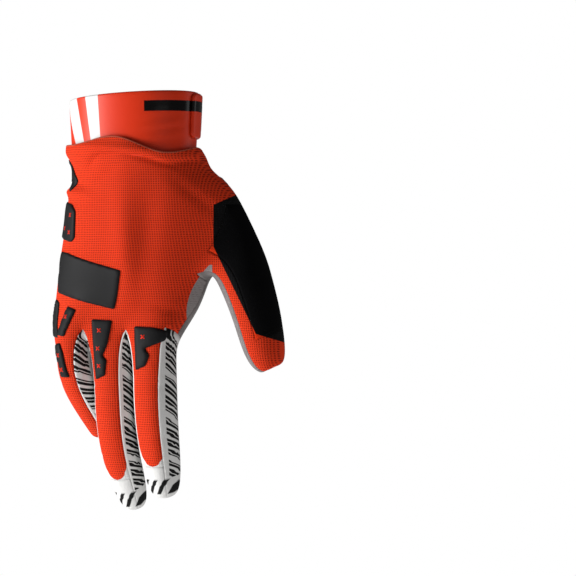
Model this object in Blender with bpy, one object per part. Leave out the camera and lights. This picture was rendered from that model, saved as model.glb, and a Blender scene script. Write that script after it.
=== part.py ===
"""A right-hand mountain bike glove, kept in the form of the hand that fills it.

Metres, +Z up, fingers down. The origin is the middle of the wrist opening. +X is the thumb side, -Y the back of
the hand and +Y the palm. One quad cage gives the skin, which is smoothed once and cut into its panels, and every
panel gets its wall inwards. The rubber pads and the palm label lie on the skin. The cuff stands in its neck, and the
strap and its tab lie round the cuff.
"""

import bmesh
import bpy
import numpy as np
from mathutils import Vector
from mathutils.bvhtree import BVHTree

MM = 0.001

# Driving sizes, in millimetres
HAND_LENGTH = 146.0  # cuff edge to the webs of the palm
PALM_WIDTH = 82.0  # across the knuckles
HAND_DEPTH = 40.0  # back to palm, through the heart of the hand
FINGER_WIDTH = 24.0
FINGER_DEPTH = 21.0
THUMB_WIDTH = 28.0
THUMB_DEPTH = 25.0
INDEX_LENGTH = 95.0
MIDDLE_LENGTH = 105.0
RING_LENGTH = 84.0
PINKY_LENGTH = 66.0
KNIT_WALL = 1.4
SUEDE_WALL = 1.2
MESH_WALL = 1.0
GAP = 0.3  # between a piece and what it lies on
SEAM = 0.5  # between the edges of two panels
SEAT = 0.4  # under a patch that follows the skin

CUFF_WIDTH = 78.5
CUFF_DEPTH = 53.5
CUFF_HEIGHT = 33.5
CUFF_WALL = 2.0
CUFF_FLARE = 0.8  # how far the top rim stands out
CUFF_DIP = 6.0  # how far the rim falls to the little finger's side
CUFF_CREST = 60.0  # where the rim is highest, in degrees round from the back to the thumb
STRAP_HEIGHT = 26.0
STRAP_WALL = 1.8
STRAP_TURNS = (84.0, 163.0)  # where the strap begins and ends, in degrees round from the back
TAB_HEIGHT = 19.0
TAB_WALL = 1.2
TAB_TURNS = (126.0, 161.0)
STRAP_DROP = 0.9  # how far the strap starts below the cuff's rim
CORNER = 4.0  # rounding of the strap's ends
CUFF_SIDES = 48
CUFF_LEVELS = 3
STRAP_COLUMNS = 15
STRAP_ROWS = 4

PAD_RISE = 1.0  # thickness of the moulded rubber
LABEL_RISE = 0.6
PATCH_CELL = 4.2  # a patch follows the skin in cells of this size
PATCH_MERGE = 0.35  # closer points of a patch become one
SEAT_PASSES = 3  # times that a patch is lifted off the skin where it dips

# Shares across the hand, from the little finger's edge (-1) to the thumb's edge (1). Every second one is a web.
ACROSS = (-0.94, -0.787, -0.575, -0.34, -0.106, 0.157, 0.419, 0.71, 0.94)

# Sections of the hand from its rim down. Lengths are shares: z of HAND_LENGTH, x of PALM_WIDTH, y of HAND_DEPTH.
# A section is a chord from its left to its right edge, a bulge to the back and a bulge to the palm, each with the
# place of its peak across the hand and the power of its curve.
HAND_SECTIONS = (
    # z_back, z_palm, left_x, left_y, right_x, right_y, back, back_peak, back_power, palm, palm_peak, palm_power
    (-0.190, -0.240, -0.514, 0.00, 0.519, 0.03, 0.738, 0.00, 2.0, 0.735, 0.00, 2.0),
    (-0.228, -0.275, -0.534, 0.00, 0.545, 0.10, 0.790, 0.00, 2.0, 0.760, 0.00, 2.0),
    (-0.278, -0.310, -0.462, 0.02, 0.545, 0.18, 0.700, 0.05, 2.0, 0.660, 0.00, 2.0),
    (-0.350, -0.360, -0.490, 0.04, 0.655, 0.34, 0.760, 0.08, 1.9, 0.500, 0.20, 2.0),
    (-0.415, -0.420, -0.548, 0.05, 0.730, 0.44, 0.800, 0.10, 1.8, 0.400, 0.40, 2.0),
    (-0.510, -0.510, -0.560, 0.07, 0.690, 0.50, 0.840, 0.10, 1.8, 0.320, 0.50, 2.0),
    (-0.610, -0.620, -0.602, 0.09, 0.605, 0.47, 0.800, 0.12, 1.9, 0.280, 0.50, 2.0),
    (-0.708, -0.735, -0.632, 0.13, 0.508, 0.36, 0.710, 0.10, 2.1, 0.240, 0.40, 2.2),
    (-0.802, -0.860, -0.660, 0.15, 0.455, 0.32, 0.570, 0.00, 2.4, 0.210, 0.20, 2.4),
)
# How far the knit's rim on the back waves up over the cuff, in mm, from the little finger's side to the thumb's, and
# the share of that wave that each of the first sections takes
RIM_WAVE = (-3.0, -3.1, -3.1, -1.3, 1.4, 2.2, -2.6, -8.6, -6.5)
RIM_WAVE_FADE = (1.0, 0.7, 0.25)
THUMB_ROWS = (4, 7)  # the sections between which the thumb leaves the hand
THUMB_CORNERS = 4 + 2 * (THUMB_ROWS[1] - THUMB_ROWS[0])

# Fingers from the little finger on: base of its middle line, then turns in degrees. roll turns the back of a finger
# to the little finger's side and curl the way that it bends. splay leans it to the thumb, lean to the palm, and flex
# bends it round bend_at.
FINGERS = (
    # name, base_x, base_y, base_z, length, width, depth, roll, curl, splay, lean, flex, bend_at
    ("pinky", -0.610, 0.210, -0.945, PINKY_LENGTH, 0.80, 0.84, 38.0, 20.0, 4.0, 10.0, 44.0, 0.30),
    ("ring", -0.442, -0.225, -0.950, RING_LENGTH, 0.83, 0.92, 18.0, 4.0, 0.5, 0.0, 44.0, 0.24),
    ("middle", -0.162, -0.050, -0.950, MIDDLE_LENGTH, 0.99, 1.02, 4.0, 4.0, 0.0, 4.0, 23.0, 0.58),
    ("index", 0.156, 0.030, -0.950, INDEX_LENGTH, 1.08, 1.06, 0.0, 0.0, 0.0, 2.0, 12.0, 0.50),
)
WEB_BACK = -0.905  # z of the webs at the back and at the palm, as shares of HAND_LENGTH
WEB_PALM = -0.985
WEB_SAG = 0.50  # how much of that drop the middle of a web has

# Rings of a finger: place along it, and girth as a share of its width and depth
FINGER_RINGS = (
    # along, girth
    (0.16, 0.98),
    (0.33, 1.00),
    (0.50, 0.98),
    (0.64, 0.94),
    (0.77, 0.88),
    (0.91, 0.75),
    (0.98, 0.50),
)
BACK_RINGS = 5  # rings of a finger that the knit back covers, before the tip band
BEND_SPREAD = 0.30  # share of a finger over which it bends
BEND_STEP = 0.01  # share of a finger between two steps of its middle line

# The thumb's rings: middle as shares of PALM_WIDTH, HAND_DEPTH and HAND_LENGTH, girth of its width and depth
THUMB_RINGS = (
    # x, y, z, girth
    (0.706, 0.500, -0.665, 1.17),
    (0.774, 0.520, -0.765, 1.08),
    (0.828, 0.560, -0.865, 1.02),
    (0.862, 0.600, -0.960, 0.96),
    (0.898, 0.630, -1.040, 0.81),
    (0.932, 0.650, -1.082, 0.50),
)
THUMB_ROLL = -30.0
THUMB_TILT = 24.0  # of the thumb's middle line from the vertical
THUMB_FULLNESS = 1.04  # what a cage of ten corners loses when it is smoothed
THUMB_END = 0.10  # how far the tip stands beyond the last ring, as a share of THUMB_DEPTH
WIPE_RINGS = 4  # rings of the thumb that the wipe covers

# Rubber pads and the palm label. Each is an outline in the plane that faces out at the given turn, in degrees round
# from the back to the little finger's side: shares of PALM_WIDTH along that plane, and of HAND_LENGTH downwards.
PATCHES = (
    # name, facing, rise, kind, outline
    ("pad_hand_upper", 45.0, PAD_RISE, "rubber", (
        (-0.345, -0.262), (-0.245, -0.262), (-0.115, -0.342), (-0.165, -0.393), (-0.240, -0.352), (-0.345, -0.352),
    )),
    ("pad_hand_lower", 45.0, PAD_RISE, "rubber", (
        (-0.360, -0.425), (-0.185, -0.437), (-0.120, -0.462), (-0.112, -0.570), (-0.150, -0.586), (-0.390, -0.565),
    )),
    ("pad_knuckles", 15.0, PAD_RISE, "rubber", (
        (-0.480, -0.622), (-0.380, -0.628), (0.091, -0.697), (-0.022, -0.848), (-0.520, -0.782),
    )),
    ("pad_index", -25.0, PAD_RISE, "rubber", (
        (0.020, -0.914), (0.152, -0.918), (0.256, -0.932), (0.238, -0.969), (0.095, -1.000), (0.130, -1.027),
        (0.100, -1.068), (0.028, -1.085),
    )),
    ("pad_middle", 5.0, PAD_RISE, "rubber", (
        (-0.225, -0.887), (-0.073, -0.891), (-0.115, -0.983), (-0.155, -1.030), (-0.125, -1.045), (-0.142, -1.106),
        (-0.225, -1.123), (-0.232, -1.065), (-0.228, -1.000),
    )),
    ("pad_ring_upper", 20.0, PAD_RISE, "rubber", (
        (-0.372, -0.836), (-0.274, -0.850), (-0.348, -0.955), (-0.432, -0.950),
    )),
    ("pad_ring_lower", 20.0, PAD_RISE, "rubber", (
        (-0.384, -0.980), (-0.354, -1.020), (-0.335, -1.113), (-0.420, -1.113), (-0.412, -1.065), (-0.470, -0.985),
    )),
    ("pad_pinky", 40.0, PAD_RISE, "rubber", (
        (-0.420, -0.808), (-0.366, -0.822), (-0.440, -0.962), (-0.545, -0.957), (-0.500, -0.870),
    )),
    ("palm_label", 197.0, LABEL_RISE, "rubber", (
        (-0.530, -0.463), (-0.350, -0.440), (-0.340, -0.318), (-0.510, -0.336),
    )),
)

# What each cage face belongs to
BACK, PALM, FOURCHETTE_A, FOURCHETTE_B, FOURCHETTE_C, SIDE_INDEX, SIDE_PINKY, WIPE = range(8)
TIPS = (8, 9, 10, 11)
PANELS = {
    BACK: "back_knit",
    PALM: "palm_suede",
    FOURCHETTE_A: "fourchette_pinky_ring",
    FOURCHETTE_B: "fourchette_ring_middle",
    FOURCHETTE_C: "fourchette_middle_index",
    SIDE_INDEX: "index_side",
    SIDE_PINKY: "pinky_side",
    WIPE: "thumb_wipe",
    TIPS[0]: "tip_pinky",
    TIPS[1]: "tip_ring",
    TIPS[2]: "tip_middle",
    TIPS[3]: "tip_index",
}


def bulge(across, peak, power):
    """Height, as a share, of a curve that is 1 at its peak and 0 at both edges."""
    reach = np.where(across > peak, 1.0 - peak, 1.0 + peak)
    return (1.0 - np.abs((across - peak) / reach) ** power) ** (1.0 / power)


def hand_ring(section, fade):
    """The 20 points of one section, with its share of the rim's wave: little finger's edge, back, thumb's edge, palm."""
    z_back, z_palm, left_x, left_y, right_x, right_y, back, back_peak, back_power, palm, palm_peak, palm_power = section
    across = np.array(ACROSS)
    along = (across + 1.0) / 2.0
    x = PALM_WIDTH * (left_x + along * (right_x - left_x))
    chord = HAND_DEPTH * (left_y + along * (right_y - left_y))
    above = chord - HAND_DEPTH * back * bulge(across, back_peak, back_power)
    below = chord + HAND_DEPTH * palm * bulge(across, palm_peak, palm_power)
    z_edge = HAND_LENGTH * (z_back + z_palm) / 2.0
    left = [PALM_WIDTH * left_x, HAND_DEPTH * left_y, z_edge]
    right = [PALM_WIDTH * right_x, HAND_DEPTH * right_y, z_edge]
    top = np.column_stack([x, above, HAND_LENGTH * z_back + np.array(RIM_WAVE) * fade])
    bottom = np.column_stack([x, below, np.full(len(x), HAND_LENGTH * z_palm)])
    return np.vstack([left, top, right, bottom[::-1]])


def turned(vector, axis, degrees):
    """The vector turned round the axis."""
    angle = np.radians(degrees)
    axis = axis / np.linalg.norm(axis)
    return (
        vector * np.cos(angle)
        + np.cross(axis, vector) * np.sin(angle)
        + axis * np.dot(axis, vector) * (1.0 - np.cos(angle))
    )


# A finger's eight corners, as turns round it from the side next to the thumb: back, side, palm, side
OCTAGON = np.radians([135.0, 90.0, 45.0, 0.0, -45.0, -90.0, -135.0, 180.0])
FULLNESS = 1.08  # what a cage of eight corners loses when it is smoothed
SQUARENESS = 1.06  # how far the seams between back, sides and palm stand out from an ellipse


def finger_rings(finger):
    """The rings of a finger, from its base to its tip, as arrays of eight points, and the tip's point."""
    _, base_x, base_y, base_z, length, width, depth, roll, curl, splay, lean, flex, bend_at = finger

    def bend(at):
        return lean + flex * float(np.clip((at - bend_at) / BEND_SPREAD + 0.5, 0.0, 1.0))

    out = np.array([-np.sin(np.radians(roll)), -np.cos(np.radians(roll)), 0.0])
    side = np.array([np.cos(np.radians(roll)), -np.sin(np.radians(roll)), 0.0])
    hinge = np.array([np.cos(np.radians(curl)), -np.sin(np.radians(curl)), 0.0])
    down = turned(np.array([0.0, 0.0, -1.0]), np.array([0.0, -1.0, 0.0]), splay)
    place = np.array([PALM_WIDTH * base_x, HAND_DEPTH * base_y, HAND_LENGTH * base_z])
    rings = []
    stations = [0.0] + [row[0] for row in FINGER_RINGS] + [1.0]
    girths = [1.0] + [row[1] for row in FINGER_RINGS] + [0.0]
    at = 0.0
    for station, girth in zip(stations, girths):
        while at < station - BEND_STEP / 2.0:
            place = place + turned(down, hinge, bend(at)) * length * BEND_STEP
            at += BEND_STEP
        normal = turned(out, hinge, bend(at))
        beside = turned(side, hinge, bend(at))
        half_width = FINGER_WIDTH * width * girth * FULLNESS / 2.0
        half_depth = FINGER_DEPTH * depth * girth * FULLNESS / 2.0
        seams = 1.0 + (SQUARENESS - 1.0) * np.abs(np.sin(2.0 * OCTAGON))
        corners = (
            place
            + np.outer(np.cos(OCTAGON) * seams * half_width, beside)
            + np.outer(np.sin(OCTAGON) * seams * half_depth, normal)
        )
        rings.append(corners)
    tip = rings.pop().mean(axis=0)
    return rings, tip


def knuckle_ring(bases):
    """The last ring of the hand, from the bases of the fingers, and the three points in the webs."""
    back = []
    palm = []
    webs = []
    z_back = HAND_LENGTH * WEB_BACK
    z_palm = HAND_LENGTH * WEB_PALM
    for left, right in zip(bases[:-1], bases[1:]):
        over = (left[2] + right[0]) / 2.0
        under = (left[4] + right[6]) / 2.0
        between = (left[3] + right[7]) / 2.0
        over[2] = z_back
        under[2] = z_palm
        between[2] = z_back + (z_palm - z_back) * WEB_SAG
        webs.append((over, between, under))
    first = bases[0]
    last = bases[-1]
    for number, base in enumerate(bases):
        start = [base[0][0], base[0][1], z_back] if number == 0 else webs[number - 1][0]
        back += [start, [base[1][0], base[1][1], z_back]]
        start = [base[6][0], base[6][1], z_palm] if number == 0 else webs[number - 1][2]
        palm += [start, [base[5][0], base[5][1], z_palm]]
    back.append([last[2][0], last[2][1], z_back])
    palm.append([last[4][0], last[4][1], z_palm])
    z_edge = (z_back + z_palm) / 2.0
    left = [first[7][0], first[7][1], z_edge]
    right = [last[3][0], last[3][1], z_edge]
    ring = np.vstack([[left], back, [right], palm[::-1]])
    return ring, [web[1] for web in webs]


def thumb_rings():
    """The rings of the thumb as arrays of ten points, and the tip's point."""
    roll = np.radians(THUMB_ROLL)
    out = np.array([-np.sin(roll), -np.cos(roll), 0.0])
    side = turned(np.array([np.cos(roll), -np.sin(roll), 0.0]), out, THUMB_TILT)
    turns = np.radians(-360.0 / THUMB_CORNERS * np.arange(THUMB_CORNERS))
    rings = []
    for x, y, z, girth in THUMB_RINGS:
        middle = np.array([PALM_WIDTH * x, HAND_DEPTH * y, HAND_LENGTH * z])
        half_width = THUMB_WIDTH * girth * THUMB_FULLNESS / 2.0
        half_depth = THUMB_DEPTH * girth * THUMB_FULLNESS / 2.0
        rings.append(
            middle
            + np.outer(np.cos(turns) * half_width, side)
            + np.outer(np.sin(turns) * half_depth, out)
        )
    tip = rings[-1].mean(axis=0) + np.cross(out, side) * THUMB_DEPTH * THUMB_END
    return rings, tip


def skin_cage():
    """Points, faces and each face's panel."""
    points = []
    faces = []
    panels = []

    def add(ring):
        start = len(points)
        points.extend(np.asarray(ring).tolist())
        return list(range(start, len(points)))

    def quad(a, b, c, d, panel):
        faces.append((a, b, c, d))
        panels.append(panel)

    fingers = [finger_rings(finger) for finger in FINGERS]
    bases = [rings[0] for rings, _ in fingers]
    knuckles, web_points = knuckle_ring(bases)
    fades = RIM_WAVE_FADE + (0.0,) * (len(HAND_SECTIONS) - len(RIM_WAVE_FADE))
    rows = [add(hand_ring(section, fade)) for section, fade in zip(HAND_SECTIONS, fades)]
    rows.append(add(knuckles))
    webs = add(web_points)

    thumb_top, thumb_bottom = THUMB_ROWS
    columns = len(rows[0])
    for row in range(len(rows) - 1):
        for column in range(columns):
            after = (column + 1) % columns
            if column in (9, 10) and thumb_top <= row < thumb_bottom:
                continue
            wraps_crotch = column == 10 and row >= thumb_bottom
            panel = PALM if 11 <= column <= 18 or wraps_crotch else BACK
            quad(rows[row][column], rows[row][after], rows[row + 1][after], rows[row + 1][column], panel)

    last = rows[-1]
    sides_left = (SIDE_PINKY, FOURCHETTE_A, FOURCHETTE_B, FOURCHETTE_C)
    sides_right = (FOURCHETTE_A, FOURCHETTE_B, FOURCHETTE_C, SIDE_INDEX)
    for number, (rings, tip) in enumerate(fingers):
        first = 1 + 2 * number
        left = last[0] if number == 0 else webs[number - 1]
        right = last[10] if number == 3 else webs[number]
        palm_first = 19 - 2 * number
        ring = [
            last[first],
            last[first + 1],
            last[first + 2],
            right,
            last[palm_first - 2],
            last[palm_first - 1],
            last[palm_first],
            left,
        ]
        right_panel = sides_right[number]
        left_panel = sides_left[number]
        around = (BACK, BACK, right_panel, right_panel, PALM, PALM, left_panel, left_panel)
        for step, corners in enumerate(rings[1:]):
            following = add(corners)
            for corner in range(8):
                after = (corner + 1) % 8
                panel = around[corner]
                if step >= BACK_RINGS and panel == BACK:
                    panel = TIPS[number]
                quad(ring[corner], ring[after], following[after], following[corner], panel)
            ring = following
        end = add([tip])[0]
        for corner, panel in ((0, TIPS[number]), (2, TIPS[number]), (4, PALM), (6, TIPS[number])):
            quad(ring[corner], ring[corner + 1], ring[(corner + 2) % 8], end, panel)

    rings, tip = thumb_rings()
    top = rows[thumb_top]
    bottom = rows[thumb_bottom]
    between = range(thumb_top + 1, thumb_bottom)
    ring = [top[10], top[11]] + [rows[row][11] for row in between] + [bottom[11], bottom[10], bottom[9]]
    ring += [rows[row][9] for row in reversed(between)] + [top[9]]
    for step, corners in enumerate(rings):
        following = add(corners)
        for corner in range(THUMB_CORNERS):
            after = (corner + 1) % THUMB_CORNERS
            if 1 <= corner <= 5:
                panel = PALM
            elif corner == 6 or step >= WIPE_RINGS:
                panel = BACK
            else:
                panel = WIPE
            quad(ring[corner], ring[after], following[after], following[corner], panel)
        ring = following
    end = add([tip])[0]
    for corner in range(0, THUMB_CORNERS, 2):
        panel = PALM if 1 <= corner <= 4 else BACK
        quad(ring[corner], ring[corner + 1], ring[(corner + 2) % THUMB_CORNERS], end, panel)
    return np.array(points), faces, panels


def smooth_skin():
    """The cage smoothed once: points, faces, panels and normals, as arrays."""
    points, faces, panels = skin_cage()
    mesh = bpy.data.meshes.new("skin_cage")
    mesh.from_pydata((points * MM).tolist(), [], faces)
    for panel in range(len(PANELS)):
        mesh.materials.append(None)
    mesh.polygons.foreach_set("material_index", panels)
    cage = bpy.data.objects.new("skin_cage", mesh)
    bpy.context.scene.collection.objects.link(cage)
    smoother = cage.modifiers.new("smooth", "SUBSURF")
    smoother.levels = 1
    smoother.render_levels = 1
    bpy.context.view_layer.update()
    shape = cage.evaluated_get(bpy.context.evaluated_depsgraph_get()).to_mesh()
    solid = bmesh.new()
    solid.from_mesh(shape)
    bmesh.ops.recalc_face_normals(solid, faces=solid.faces)
    solid.normal_update()
    where = np.array([vertex.co[:] for vertex in solid.verts])
    normals = np.array([vertex.normal[:] for vertex in solid.verts])
    corners = [[vertex.index for vertex in face.verts] for face in solid.faces]
    owner = [face.material_index for face in solid.faces]
    solid.free()
    bpy.data.objects.remove(cage)
    return where, corners, owner, normals


def rim_edges(corners):
    """The edges that one face alone uses, in the direction in which that face runs."""
    seen = {}
    for face in corners:
        for start, end in zip(face, face[1:] + face[:1]):
            key = (min(start, end), max(start, end))
            seen.setdefault(key, []).append((start, end))
    return [ends[0] for ends in seen.values() if len(ends) == 1]


def panel_mesh(where, corners, normals, wall, inset):
    """Points and faces of a closed panel, with its wall inwards and its rim drawn back by the inset."""
    used = sorted({corner for face in corners for corner in face})
    new = {old: number for number, old in enumerate(used)}
    outer = where[used].copy()
    normal = normals[used]
    rim = rim_edges(corners)
    rim_points = {corner for edge in rim for corner in edge}
    pull = np.zeros_like(outer)
    for face in corners:
        middle = where[face].mean(axis=0)
        for corner in face:
            if corner in rim_points:
                pull[new[corner]] += middle - where[corner]
    pull -= normal * np.sum(pull * normal, axis=1, keepdims=True)
    length = np.linalg.norm(pull, axis=1, keepdims=True)
    outer += np.divide(pull, length, out=np.zeros_like(pull), where=length > 0) * inset
    inner = outer - normal * wall
    count = len(used)
    faces = [[new[corner] for corner in face] for face in corners]
    faces += [[new[corner] + count for corner in reversed(face)] for face in corners]
    for start, end in rim:
        first, last = new[start], new[end]
        # Neighbours share a rim, so both split it along the same diagonal.
        if start < end:
            faces += [[last, first, last + count], [first, first + count, last + count]]
        else:
            faces += [[last, first, first + count], [last, first + count, last + count]]
    return np.vstack([outer, inner]), faces


FINISHES = {
    # name: colour, roughness
    "knit": ((0.62, 0.035, 0.010), 0.85),
    "suede": ((0.18, 0.18, 0.18), 0.9),
    "mesh": ((0.75, 0.75, 0.74), 0.8),
    "terry": ((0.008, 0.008, 0.009), 0.95),
    "rubber": ((0.020, 0.020, 0.022), 0.5),
    "neoprene": ((0.60, 0.040, 0.012), 0.45),
}


def finish(name, kind):
    """A material of its own for one piece."""
    colour, roughness = FINISHES[kind]
    material = bpy.data.materials.new(name)
    material.use_nodes = True
    shader = material.node_tree.nodes["Principled BSDF"]
    shader.inputs["Base Color"].default_value = (*colour, 1.0)
    shader.inputs["Roughness"].default_value = roughness
    return material


def add_piece(name, points, faces, kind):
    """A smooth-shaded object of one closed mesh."""
    mesh = bpy.data.meshes.new(name)
    mesh.from_pydata(np.asarray(points).tolist(), [], faces)
    mesh.materials.append(finish(name, kind))
    piece = bpy.data.objects.new(name, mesh)
    bpy.context.scene.collection.objects.link(piece)
    solid = bmesh.new()
    solid.from_mesh(mesh)
    bmesh.ops.recalc_face_normals(solid, faces=solid.faces)
    solid.to_mesh(mesh)
    solid.free()
    mesh.shade_smooth()
    return piece


PANEL_KINDS = {BACK: "knit", PALM: "suede", WIPE: "terry"}
WALLS = {"knit": KNIT_WALL, "suede": SUEDE_WALL, "terry": KNIT_WALL, "mesh": MESH_WALL}


def build_panels(where, corners, owner, normals):
    for panel, name in PANELS.items():
        own = [face for face, whose in zip(corners, owner) if whose == panel]
        kind = PANEL_KINDS.get(panel, "mesh")
        points, faces = panel_mesh(where, own, normals, WALLS[kind] * MM, SEAM / 2.0 * MM)
        add_piece(name, points, faces, kind)


def patch_cells(outline):
    """The outline filled with cells no larger than PATCH_CELL: flat points (along, down) and faces."""
    flat = bmesh.new()
    flat.faces.new([flat.verts.new((along * PALM_WIDTH, down * HAND_LENGTH, 0.0)) for along, down in outline])
    for axis in ((1.0, 0.0, 0.0), (0.0, 1.0, 0.0)):
        reach = [vertex.co.dot(Vector(axis)) for vertex in flat.verts]
        count = int(np.ceil((max(reach) - min(reach)) / PATCH_CELL))
        for place in np.linspace(min(reach), max(reach), count + 1)[1:-1]:
            everything = flat.verts[:] + flat.edges[:] + flat.faces[:]
            point = Vector(axis) * float(place)
            bmesh.ops.bisect_plane(flat, geom=everything, plane_co=point, plane_no=axis)
    bmesh.ops.remove_doubles(flat, verts=flat.verts, dist=PATCH_MERGE)
    bmesh.ops.triangulate(flat, faces=flat.faces)
    flat.verts.index_update()
    points = np.array([vertex.co[:2] for vertex in flat.verts])
    faces = [[vertex.index for vertex in face.verts] for face in flat.faces]
    flat.free()
    return points, faces


def seat_on(skin, point, out):
    """The point of the skin under a point, looking back along out, and its normal."""
    place, normal, _, _ = skin.ray_cast(point + out * PALM_WIDTH * 2.0 * MM, -out)
    if place is None:
        place, normal, _, _ = skin.find_nearest(point)
    return place, normal if normal.dot(out) > 0.0 else -normal


def build_patch(skin, name, facing, rise, kind, outline):
    """A plate that lies on the skin, seen from outside along its facing."""
    turn = np.radians(facing)
    out = Vector((-np.sin(turn), -np.cos(turn), 0.0))
    along = Vector((np.cos(turn), -np.sin(turn), 0.0))
    cells, faces = patch_cells(outline)
    seats = []
    normals = []
    for across, down in cells:
        place, normal = seat_on(skin, (along * float(across) + Vector((0.0, 0.0, float(down)))) * MM, out)
        seats.append(place + normal * SEAT * MM)
        normals.append(normal)
    for face in faces * SEAT_PASSES:
        for weights in ((1, 1, 1), (1, 1, 0), (0, 1, 1), (1, 0, 1)):
            middle = sum((seats[corner] * weight for corner, weight in zip(face, weights)), Vector()) / sum(weights)
            place, normal = seat_on(skin, middle, out)
            low = SEAT * MM - (middle - place).dot(normal)
            for corner, weight in zip(face, weights):
                seats[corner] = seats[corner] + normals[corner] * max(low, 0.0) * weight
    upper = [seat + normal * rise * MM for seat, normal in zip(seats, normals)]
    count = len(cells)
    rim = rim_edges(faces)
    whole = [list(face) for face in faces]
    whole += [[corner + count for corner in reversed(face)] for face in faces]
    whole += [[end, start, start + count, end + count] for start, end in rim]
    add_piece(name, [place[:] for place in upper + seats], whole, kind)


def build_patches(where, corners):
    skin = BVHTree.FromPolygons([Vector(place) for place in where.tolist()], corners)
    for patch in PATCHES:
        build_patch(skin, *patch)


def cuff_point(turn, down, offset):
    """A point on the cuff: turn in radians round from the back, down from its rim, offset outwards."""
    half_width = CUFF_WIDTH / 2.0
    half_depth = CUFF_DEPTH / 2.0
    out = np.array([np.sin(turn) / half_width, -np.cos(turn) / half_depth])
    out /= np.linalg.norm(out)
    flare = CUFF_FLARE * (1.0 - 2.0 * down / CUFF_HEIGHT)
    dip = CUFF_DIP * (1.0 - np.cos(turn - np.radians(CUFF_CREST))) / 2.0
    x = half_width * np.sin(turn) + out[0] * (offset + flare)
    y = -half_depth * np.cos(turn) + out[1] * (offset + flare)
    return [x * MM, y * MM, -(down + dip * (1.0 - down / CUFF_HEIGHT)) * MM]


def build_cuff():
    """The band round the wrist, open at both ends."""
    turns = np.linspace(0.0, 2.0 * np.pi, CUFF_SIDES, endpoint=False)
    levels = np.linspace(0.0, CUFF_HEIGHT, CUFF_LEVELS)
    outer = [[cuff_point(turn, down, 0.0) for turn in turns] for down in levels]
    inner = [[cuff_point(turn, down, -CUFF_WALL) for turn in turns] for down in levels]
    rings = outer + inner[::-1]
    points = [point for ring in rings for point in ring]
    faces = []
    for ring in range(len(rings)):
        here = ring * CUFF_SIDES
        below = (ring + 1) % len(rings) * CUFF_SIDES
        for number in range(CUFF_SIDES):
            after = (number + 1) % CUFF_SIDES
            faces.append([here + number, here + after, below + after, below + number])
    add_piece("cuff_band", points, faces, "neoprene")


def build_wrap(name, turns, top, height, offset, wall, kind):
    """A strip that lies round the cuff, with rounded ends."""
    start, end = np.radians(turns)
    radius = (CUFF_WIDTH + CUFF_DEPTH) / 4.0
    places = np.linspace(start, end, STRAP_COLUMNS)
    points = []
    for lift in (wall, 0.0):
        for place in places:
            near = min(place - start, end - place) * radius
            short = CORNER - min(near, CORNER)
            trim = CORNER - np.sqrt(max(CORNER**2 - short**2, 0.0))
            for level in np.linspace(top + trim, top + height - trim, STRAP_ROWS):
                points.append(cuff_point(place, level, offset + lift))
    count = STRAP_COLUMNS * STRAP_ROWS
    sheet = []
    for column in range(STRAP_COLUMNS - 1):
        for row in range(STRAP_ROWS - 1):
            corner = column * STRAP_ROWS + row
            sheet.append([corner, corner + 1, corner + STRAP_ROWS + 1, corner + STRAP_ROWS])
    faces = [list(face) for face in sheet]
    faces += [[corner + count for corner in reversed(face)] for face in sheet]
    faces += [[b, a, a + count, b + count] for a, b in rim_edges(sheet)]
    add_piece(name, points, faces, kind)


def build_closure():
    build_wrap("wrist_strap", STRAP_TURNS, STRAP_DROP, STRAP_HEIGHT, GAP, STRAP_WALL, "neoprene")
    tab_top = STRAP_DROP + (STRAP_HEIGHT - TAB_HEIGHT) / 2.0
    build_wrap("strap_tab", TAB_TURNS, tab_top, TAB_HEIGHT, 2.0 * GAP + STRAP_WALL, TAB_WALL, "rubber")


def main():
    for thing in list(bpy.data.objects):
        bpy.data.objects.remove(thing)
    where, corners, owner, normals = smooth_skin()
    build_panels(where, corners, owner, normals)
    build_patches(where, corners)
    build_cuff()
    build_closure()


main()
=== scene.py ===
"""A right-hand mountain bike glove in its worn form, seen from the back with the fingers down.

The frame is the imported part: metres, +Z up, the origin in the middle of the wrist opening, +X to the thumb and -Y to
the back of the hand. Every panel is cut from one smooth skin, grown from the same cage of sections as the part.
"""

import logging
from dataclasses import dataclass
from enum import Enum, IntEnum
from typing import Iterable, Optional, Sequence

import bmesh
import bpy
import numpy as np
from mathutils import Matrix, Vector
from mathutils.bvhtree import BVHTree


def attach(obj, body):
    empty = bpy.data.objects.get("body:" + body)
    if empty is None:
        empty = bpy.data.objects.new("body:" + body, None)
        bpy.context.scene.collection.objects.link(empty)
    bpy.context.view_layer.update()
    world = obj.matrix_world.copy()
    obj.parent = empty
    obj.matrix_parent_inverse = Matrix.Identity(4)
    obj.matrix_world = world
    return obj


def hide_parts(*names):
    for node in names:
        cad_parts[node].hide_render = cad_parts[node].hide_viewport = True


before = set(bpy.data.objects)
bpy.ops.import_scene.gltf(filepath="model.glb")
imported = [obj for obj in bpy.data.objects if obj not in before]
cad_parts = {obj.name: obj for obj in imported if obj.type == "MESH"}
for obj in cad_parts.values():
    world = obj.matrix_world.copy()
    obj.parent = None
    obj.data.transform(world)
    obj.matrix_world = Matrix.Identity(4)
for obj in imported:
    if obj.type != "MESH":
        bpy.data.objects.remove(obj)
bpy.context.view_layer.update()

LOG = logging.getLogger("glove")
MM = 0.001


class Panel(IntEnum):
    """The cloth panels that the skin is cut into."""

    BACK = 0
    PALM = 1
    FOURCHETTE_PINKY_RING = 2
    FOURCHETTE_RING_MIDDLE = 3
    FOURCHETTE_MIDDLE_INDEX = 4
    SIDE_INDEX = 5
    SIDE_PINKY = 6
    WIPE = 7
    TIP_PINKY = 8
    TIP_RING = 9
    TIP_MIDDLE = 10
    TIP_INDEX = 11


class Weave(Enum):
    """The fine relief of a material."""

    KNIT = "knit"
    SUEDE = "suede"
    MESH = "mesh"
    TERRY = "terry"
    RUBBER = "rubber"
    NEOPRENE = "neoprene"


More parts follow.
